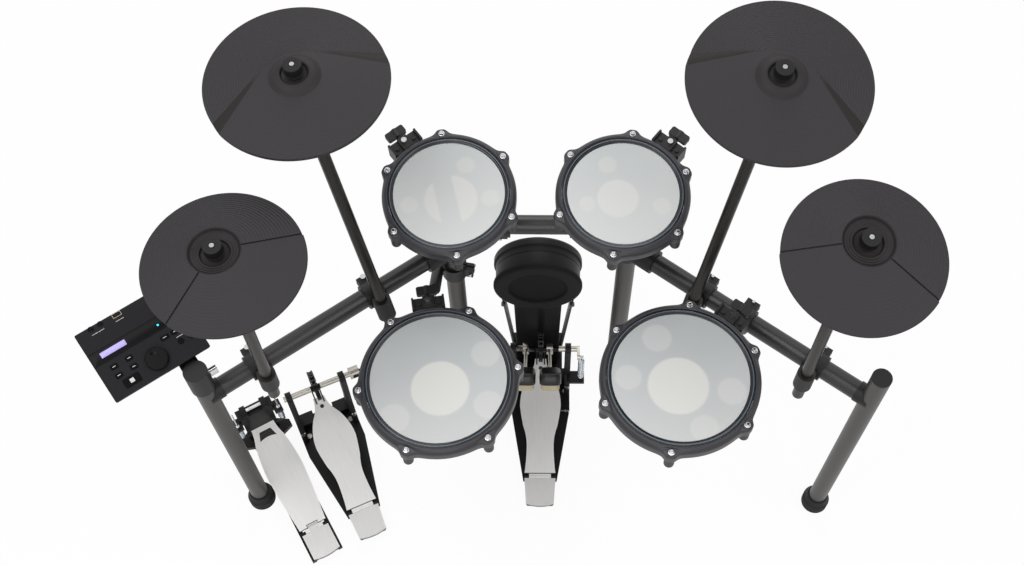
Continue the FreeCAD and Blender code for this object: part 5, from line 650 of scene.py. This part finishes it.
def round_outline(width, height, corner, steps=8):
    """Rounded rectangle about the origin."""
    w, h = width / 2, height / 2
    return rounded([(w, -h), (w, h), (-w, h), (-w, -h)], corner, steps)


def cushion_grid(outline, levels):
    """Outline carried along a depth: at each level it is shrunk towards its middle by an inset."""
    half = np.abs(outline).max(0)
    scale = 1 - np.array([[inset] for inset, _ in levels]) / half
    flat = outline[:, None, :] * scale[None]
    depth = np.broadcast_to(np.array([d for _, d in levels]), flat.shape[:2])
    return np.concatenate([flat, depth[..., None]], -1)


AXLE_Y, AXLE_Z, LEAN = 302.0, 200.0, np.radians(46.0)
HEAD_START, HEAD_REACH, ROD_CLEARANCE = 175.8, 200, 4.2
rod_way = np.array([0, -np.sin(LEAN), np.cos(LEAN)])
strike_way = np.array([0, np.cos(LEAN), np.sin(LEAN)])
turned_steel = finish("turned_steel", "#9c988f", "#b9b5ad", 20.0, (0.24, 0.34), 0.002, {"Metallic": 1.0})
beater_plastic = finish("beater_moulding", "#0b0b0c", "#151516", 2.0, (0.3, 0.42), 0.01,
                        {"Specular IOR Level": 0.4})
beater_felt = finish("cream_wool_felt", "#d6c7a4", "#efe4c8", 1.1, (0.85, 0.95), 0.5)
block = cushion_grid(round_outline(45, 48, 14), [(22.4, 26), (10, 26), (5, 25.3), (1.8, 23.2), (0, 19),
                                                 (0, 1.2), (0.6, 0.3), (22.4, 0.3)])
felt = cushion_grid(round_outline(39, 42, 12), [(19.4, 0.2), (0, 0.2), (0, -10), (0.9, -12.4), (3, -13.8),
                                                (19.4, -14)])
axes = np.stack([np.array([1.0, 0, 0]), rod_way, strike_way])
axle_at = np.array(PEDALS["main"][0]) + [0, AXLE_Y, AXLE_Z]
for name, body, x in (("right_beater", "main_axle", 20.0), ("left_beater", "left_beater", -33.0)):
    hub_at = axle_at + [x, 0, 0]

    def in_head(point):
        """True past the lower end of the beater's head, clear of its rod."""
        away = (np.array(point) - kit_origin) * 1000 - hub_at
        beside = max(abs(away[0]), abs(away @ strike_way))
        return away @ rod_way > HEAD_START and beside > ROD_CLEARANCE

    rod = copied(name, name + "_rod", body, turned_steel, in_head)
    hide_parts(name)
    head_at = hub_at + rod_way * HEAD_REACH
    for part, shape, material in (("_moulding", block, beater_plastic), ("_felt", felt, beater_felt)):
        piece = surface(name + part, [set_out(shape @ axes, head_at)], body, material, wrap_v=False)

# Chains: double-row steel roller chain over the cam and down to the yoke on the footboard. It is the
# CAD chain's mesh, copied and baked in place on no body.
chain_steel = finish("dark_chain_steel", "#2e2d2d", "#565554", 3.0, (0.28, 0.4), 0.005, {"Metallic": 0.9})
CHAIN_Y, CHAIN_TOP, CHAIN_END = 336.6, 196.0, 120.0
for pedal in ("main", "slave"):
    place, yaw = PEDALS[pedal]
    chain = copied(pedal + "_chain", pedal + "_roller_chain", None, chain_steel)
    ends = [set_out(np.array([0.0, CHAIN_Y, z]), place, yaw).tolist() for z in (CHAIN_TOP, CHAIN_END)]
    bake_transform(chain)
    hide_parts(pedal + "_chain")


# Springs: bright zinc-plated tension springs with straight leads at both ends, baked in place on no
# body.
def spring_grid(top, foot, coils):
    """Tube of wire on a path: straight leads on the axis and a helix whose radius swells from 0 to 6 mm
    over the first half turn and back over the last."""
    wire, radius, pitch = 1.2, 6.0, 5.4
    length = np.linalg.norm(foot - top)
    body = pitch * coils
    lead = (length - body) / 2
    turns = np.linspace(-0.5, coils + 0.5, 24 * (coils + 1) + 1)
    swell = np.clip(np.minimum(turns + 0.5, coils + 0.5 - turns) / 0.5, 0, 1)
    swell = swell * swell * (3 - 2 * swell) * radius
    along = np.concatenate([[0], lead + pitch * turns, [length]])
    swell = np.concatenate([[0], swell, [0]])
    turns = np.concatenate([[-0.5], turns, [coils + 0.5]])
    axis = (foot - top) / length
    side = np.cross(axis, [1.0, 0, 0])
    side /= np.linalg.norm(side)
    other = np.cross(axis, side)
    a = (2 * np.pi * turns)[:, None]
    path = top + axis * along[:, None] + (side * np.cos(a) + other * np.sin(a)) * swell[:, None]
    tangent = np.gradient(path, axis=0)
    tangent /= np.linalg.norm(tangent, axis=1)[:, None]
    out = side * np.cos(a) + other * np.sin(a)
    out -= tangent * np.sum(out * tangent, 1)[:, None]
    out /= np.linalg.norm(out, axis=1)[:, None]
    third = np.cross(tangent, out)
    b = np.linspace(0, 2 * np.pi, 10, endpoint=False)[None, :, None]
    tube = path[:, None] + wire * (out[:, None] * np.cos(b) + third[:, None] * np.sin(b))
    ends = np.repeat(path[[0, -1], None], 10, 1)
    return np.concatenate([ends[:1], tube, ends[1:]])


spring_wire = finish("zinc_spring_wire", "#aab2b8", "#d3d9dd", 12.0, (0.2, 0.3), 0.002, {"Metallic": 1.0})
KICK_COILS, HIHAT_COILS, LOWER_LEAD = 15, 5, 20
SPRING_X, SPRING_Y, SPRING_TOP, SPRING_FOOT = 91.0, 282.08, 198.59, 84.15
main_place = PEDALS["main"][0]
for name, body, x in (("right_spring", "main_axle", SPRING_X), ("left_spring", "left_beater", -SPRING_X)):
    top, foot = np.array([x, SPRING_Y, SPRING_TOP]), np.array([x, SPRING_Y, SPRING_FOOT])
    grid = set_out(spring_grid(top, foot, KICK_COILS), main_place)
    spring = surface(name + "_wire", [grid], None, spring_wire, wrap_u=False)
    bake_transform(spring)
    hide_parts(name)
CROSS_REACH, CROSS_DROP, HOOK_RISE = 258, 35, 3.2
HIHAT_SPRING_X, HIHAT_SPRING_Y, HIHAT_SPRING_TOP = 49.0, 325.0, 111.8
place, yaw = PEDALS["hihat"]
slope = np.radians(HIHAT_SLOPE)
cross_y = HINGE_Y + CROSS_REACH * np.cos(slope) + CROSS_DROP * np.sin(slope)
cross_z = HINGE_Z + CROSS_REACH * np.sin(slope) - CROSS_DROP * np.cos(slope)
ends = [(np.array([x, HIHAT_SPRING_Y, HIHAT_SPRING_TOP]), np.array([x, cross_y, cross_z + HOOK_RISE]))
        for x in (-HIHAT_SPRING_X, HIHAT_SPRING_X)]
grids = [set_out(spring_grid(top, foot, HIHAT_COILS), place, yaw) for top, foot in ends]
spring = surface("hihat_spring_wires", grids, None, spring_wire, wrap_u=False)
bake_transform(spring)
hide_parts("hihat_springs")

# Sound module: a two-part charcoal ABS housing on a collar round the left post, spark-textured. The
# dial is gloss black and the keys are dull rubber.
module_plastic = finish("charcoal_abs", "#1b1a1d", "#242327", 1.0, (0.5, 0.62), 0.02,
                        {"Specular IOR Level": 0.12})
dress(module_plastic, "module_case", "module_panel")
gloss_plastic = finish("gloss_black_abs", "#070709", "#0d0d10", 30.0, (0.3, 0.38), 0.001,
                       {"Specular IOR Level": 0.12})
dress(gloss_plastic, "dial")
key_rubber = finish("key_rubber", "#09090a", "#111113", 1.2, (0.55, 0.68), 0.02, {"Specular IOR Level": 0.06})
dress(key_rubber, "start_button", *["pad_button_%d" % i for i in (1, 2, 3, 4)],
      *["%s_button_%d" % (kind, i) for kind in ("mode", "page") for i in (1, 2)])

# Module display: a gloss black band across the panel with a lit lavender screen and a cyan lamp. These
# thin plates are laid out by u across the panel and v towards its rear.
MODULE_PLACE, MODULE_YAW, MODULE_TILT = (-712.2, 41.1, 715.0), 36.46, 20.8
BEVEL_START, BEVEL_RUN = 57, 3


def panel_plate(name, u, v, w, size, corner, material, body="stand"):
    """Thin plate with a rounded outline and a softened top edge, lying on the module's panel. Behind
    v = 57 it follows the panel's bevel, which falls 1 in 3."""
    middle = min(size) / 2 - 0.01
    levels = [(middle, w[1]), (0.15, w[1]), (0, w[1] - 0.12), (0, w[0]), (middle, w[0])]
    grid = cushion_grid(round_outline(*size, corner), levels) + [u, v, 0]
    grid[..., 2] -= np.clip(grid[..., 1] - BEVEL_START, 0, None) / BEVEL_RUN
    return surface(name, [set_out(grid, MODULE_PLACE, MODULE_YAW, MODULE_TILT)], body, material, wrap_v=False)


piece = panel_plate("module_gloss_band", 0, 13.5, (-0.3, 0.35), (189.4, 27), 0.6, gloss_plastic)
screen = finish("lit_screen", "#a99be0", "#b7abe8", 4.0, (0.3, 0.35), 0.0,
                {"Emission Color": linear("#b3a6ea"), "Emission Strength": 0.35})
panel_plate("module_screen", -50, 14.8, (0.2, 0.6), (49, 10.4), 0.3, screen)
lamp = finish("cyan_lamp", "#1fd9d9", "#3ff0ee", 2.0, (0.2, 0.3), 0.0,
              {"Emission Color": linear("#25e6e4"), "Emission Strength": 1.0})
panel_plate("module_lamp", 37, 11, (0.2, 0.9), (3.6, 3.6), 1.7, lamp)

# Module marks: white print on the keys and the panel, in plain strokes, a cream rim round the socket
# and a black nut round each jack. Socket and jacks lie on the bevel at the rear.
SOCKET_ROW = 66
print_ink = finish("white_print", "#d9d9d6", "#e6e6e3", 3.0, (0.5, 0.6), 0.0)
for node, u, v, size in (("pad_button_1", -65.0, -13.6, (6, 1.2)), ("pad_button_2", -35.5, -13.6, (6, 1.2)),
                         ("pad_button_3", -65.5, -31.4, (6, 1.2)), ("pad_button_4", -36.0, -31.4, (6, 1.2)),
                         ("start_button", -51.0, -51.0, (8, 8)), ("mode_button_1", 35.7, -14.6, (7, 1)),
                         ("mode_button_2", 56.7, -14.6, (7, 1))):
    panel_plate(node + "_mark", u, v, (1.3, 1.82), size, 0.4, print_ink, node)
panel_plate("module_print_line", 66, -26, (-0.2, 0.16), (27, 0.9), 0.3, print_ink)
cream = finish("cream_socket_rim", "#b9b09a", "#cfc7b2", 3.0, (0.5, 0.6), 0.0)
for name, u, v, size in (("socket_rim_left", -21.4, SOCKET_ROW, (0.9, 8.6)),
                         ("socket_rim_right", -5.4, SOCKET_ROW, (0.9, 8.6)),
                         ("socket_rim_rear", -13.4, 70.1, (16.9, 0.9)),
                         ("socket_rim_front", -13.4, 61.9, (16.9, 0.9))):
    panel_plate(name, u, v, (-0.3, 0.2), size, 0.3, cream)
for name, u, width in (("jack_print", -56, 24), ("socket_print", -13, 16)):
    panel_plate(name, u, 54.6, (-0.2, 0.14), (width, 0.8), 0.3, print_ink)
jack_ring = rounded([(4.1, -0.5), (5.9, -0.5), (5.9, 0.4), (5.4, 0.7), (4.1, 0.7)], [0.1, 0.1, 0.3, 0.3, 0.1])
for name, u in (("left_jack", -64.6), ("right_jack", -46.2)):
    piece = panel_plate(name + "_floor", u, SOCKET_ROW, (-3.2, -2.6), (7.6, 7.6), 3.7, gloss_plastic)
    ring = spun(jack_ring, 40) + [u, SOCKET_ROW, 0]
    ring[..., 2] -= (ring[..., 1] - BEVEL_START) / BEVEL_RUN
    grid = set_out(ring, MODULE_PLACE, MODULE_YAW, MODULE_TILT)
    surface(name + "_nut", [grid], "stand", gloss_plastic)


# Floor, world and lamps: a white studio floor and four large soft lamps. Rays that show the floor or
# the world see white; the others get less light, so that the dark pieces keep their depth.
def seen_rays(shaded):
    """1 for rays from the camera, straight or by way of mirrors and glass, else 0, as a socket: the
    greatest of three tests."""
    ray = add_node(shaded, "ShaderNodeLightPath")
    seen = ray.outputs["Is Camera Ray"]
    for kind in ("Is Glossy Ray", "Is Transmission Ray"):
        seen = calc(shaded, "MAXIMUM", seen, ray.outputs[kind])
    return seen


FLOOR_HALF, FLOOR_Z, FLOOR_GLOW, WORLD_LIGHT = 20, -0.001, 0.94, 0.3
corners = [(x * FLOOR_HALF, y * FLOOR_HALF, FLOOR_Z) for x, y in ((-1, -1), (1, -1), (1, 1), (-1, 1))]
floor_mesh = bpy.data.meshes.new("floor")
floor_mesh.from_pydata(corners, [], [(0, 1, 2, 3)])
floor = bpy.data.objects.new("floor", floor_mesh)
bpy.context.scene.collection.objects.link(floor)
paper = bpy.data.materials.new("white_studio_floor")
paper.use_nodes = True
shade = paper.node_tree.nodes["Principled BSDF"]
shade.inputs["Roughness"].default_value = 0.9
ray = add_node(paper, "ShaderNodeLightPath")
tone = add_node(paper, "ShaderNodeMix", {0: ray.outputs["Is Camera Ray"], 6: linear("#a6a6a6"),
                                         7: linear("#ffffff")}, data_type="RGBA")
paper.node_tree.links.new(tone.outputs[2], shade.inputs["Base Color"])
glow = add_node(paper, "ShaderNodeEmission", {"Strength": 1.0})
share = calc(paper, "MULTIPLY", seen_rays(paper), FLOOR_GLOW)
both = add_node(paper, "ShaderNodeMixShader", {0: share, 1: shade.outputs[0], 2: glow.outputs[0]})
paper.node_tree.links.new(both.outputs[0], paper.node_tree.nodes["Material Output"].inputs["Surface"])
floor_mesh.materials.append(paper)
world = bpy.data.worlds.new("studio")
bpy.context.scene.world = world
world.use_nodes = True
sky = world.node_tree.nodes["Background"]
sky.inputs["Color"].default_value = (1, 1, 1, 1)
level = add_node(world, "ShaderNodeMapRange",
                 {"Value": seen_rays(world), "To Min": WORLD_LIGHT, "To Max": 1.0})
world.node_tree.links.new(level.outputs[0], sky.inputs["Strength"])
for name, place, aim, size, watts in (("key_lamp", (-1.6, -0.6, 4.2), (0, 0, 0.7), 2.6, 66),
                                      ("fill_lamp", (2.4, -0.8, 3.8), (0, 0, 0.7), 2.2, 40),
                                      ("rear_lamp", (0.2, 3.4, 3.4), (0, 0, 0.7), 2.4, 45),
                                      ("front_lamp", (0.0, -3.6, 2.6), (0, 0, 0.2), 2.4, 40)):
    light = bpy.data.lights.new(name, "AREA")
    light.energy, light.size = watts, size
    lamp_object = bpy.data.objects.new(name, light)
    bpy.context.scene.collection.objects.link(lamp_object)
    lamp_object.location = place
    lamp_object.rotation_euler = (Vector(aim) - Vector(place)).to_track_quat("-Z", "Y").to_euler()

# Focal length and principal point are in pixels of the photograph's width.
ELEVATION, ROLL = np.radians(61.18), np.radians(0.345)
FOCAL_PX, CENTRE_PX, WIDTH_PX, SENSOR = 1308.4, 539.8, 1024, 36.0
right, up = np.array([1, 0, 0]), np.array([0, np.sin(ELEVATION), np.cos(ELEVATION)])
back = np.array([0, -np.cos(ELEVATION), np.sin(ELEVATION)])
axes = [np.cos(ROLL) * right + np.sin(ROLL) * up, np.cos(ROLL) * up - np.sin(ROLL) * right, back]
eye = np.array([0.0, -0.9953, 2.8255]) + kit_origin
lens = bpy.data.cameras.new("camera")
lens.sensor_width, lens.lens = SENSOR, SENSOR * FOCAL_PX / WIDTH_PX
lens.shift_x = (WIDTH_PX / 2 - CENTRE_PX) / WIDTH_PX
camera = bpy.data.objects.new("camera", lens)
bpy.context.scene.collection.objects.link(camera)
rows = [[*(float(a[i]) for a in axes), float(eye[i])] for i in range(3)]
camera.matrix_world = Matrix(rows + [[0, 0, 0, 1]])
bpy.context.scene.camera = camera
bpy.context.scene.view_settings.view_transform = "Standard"
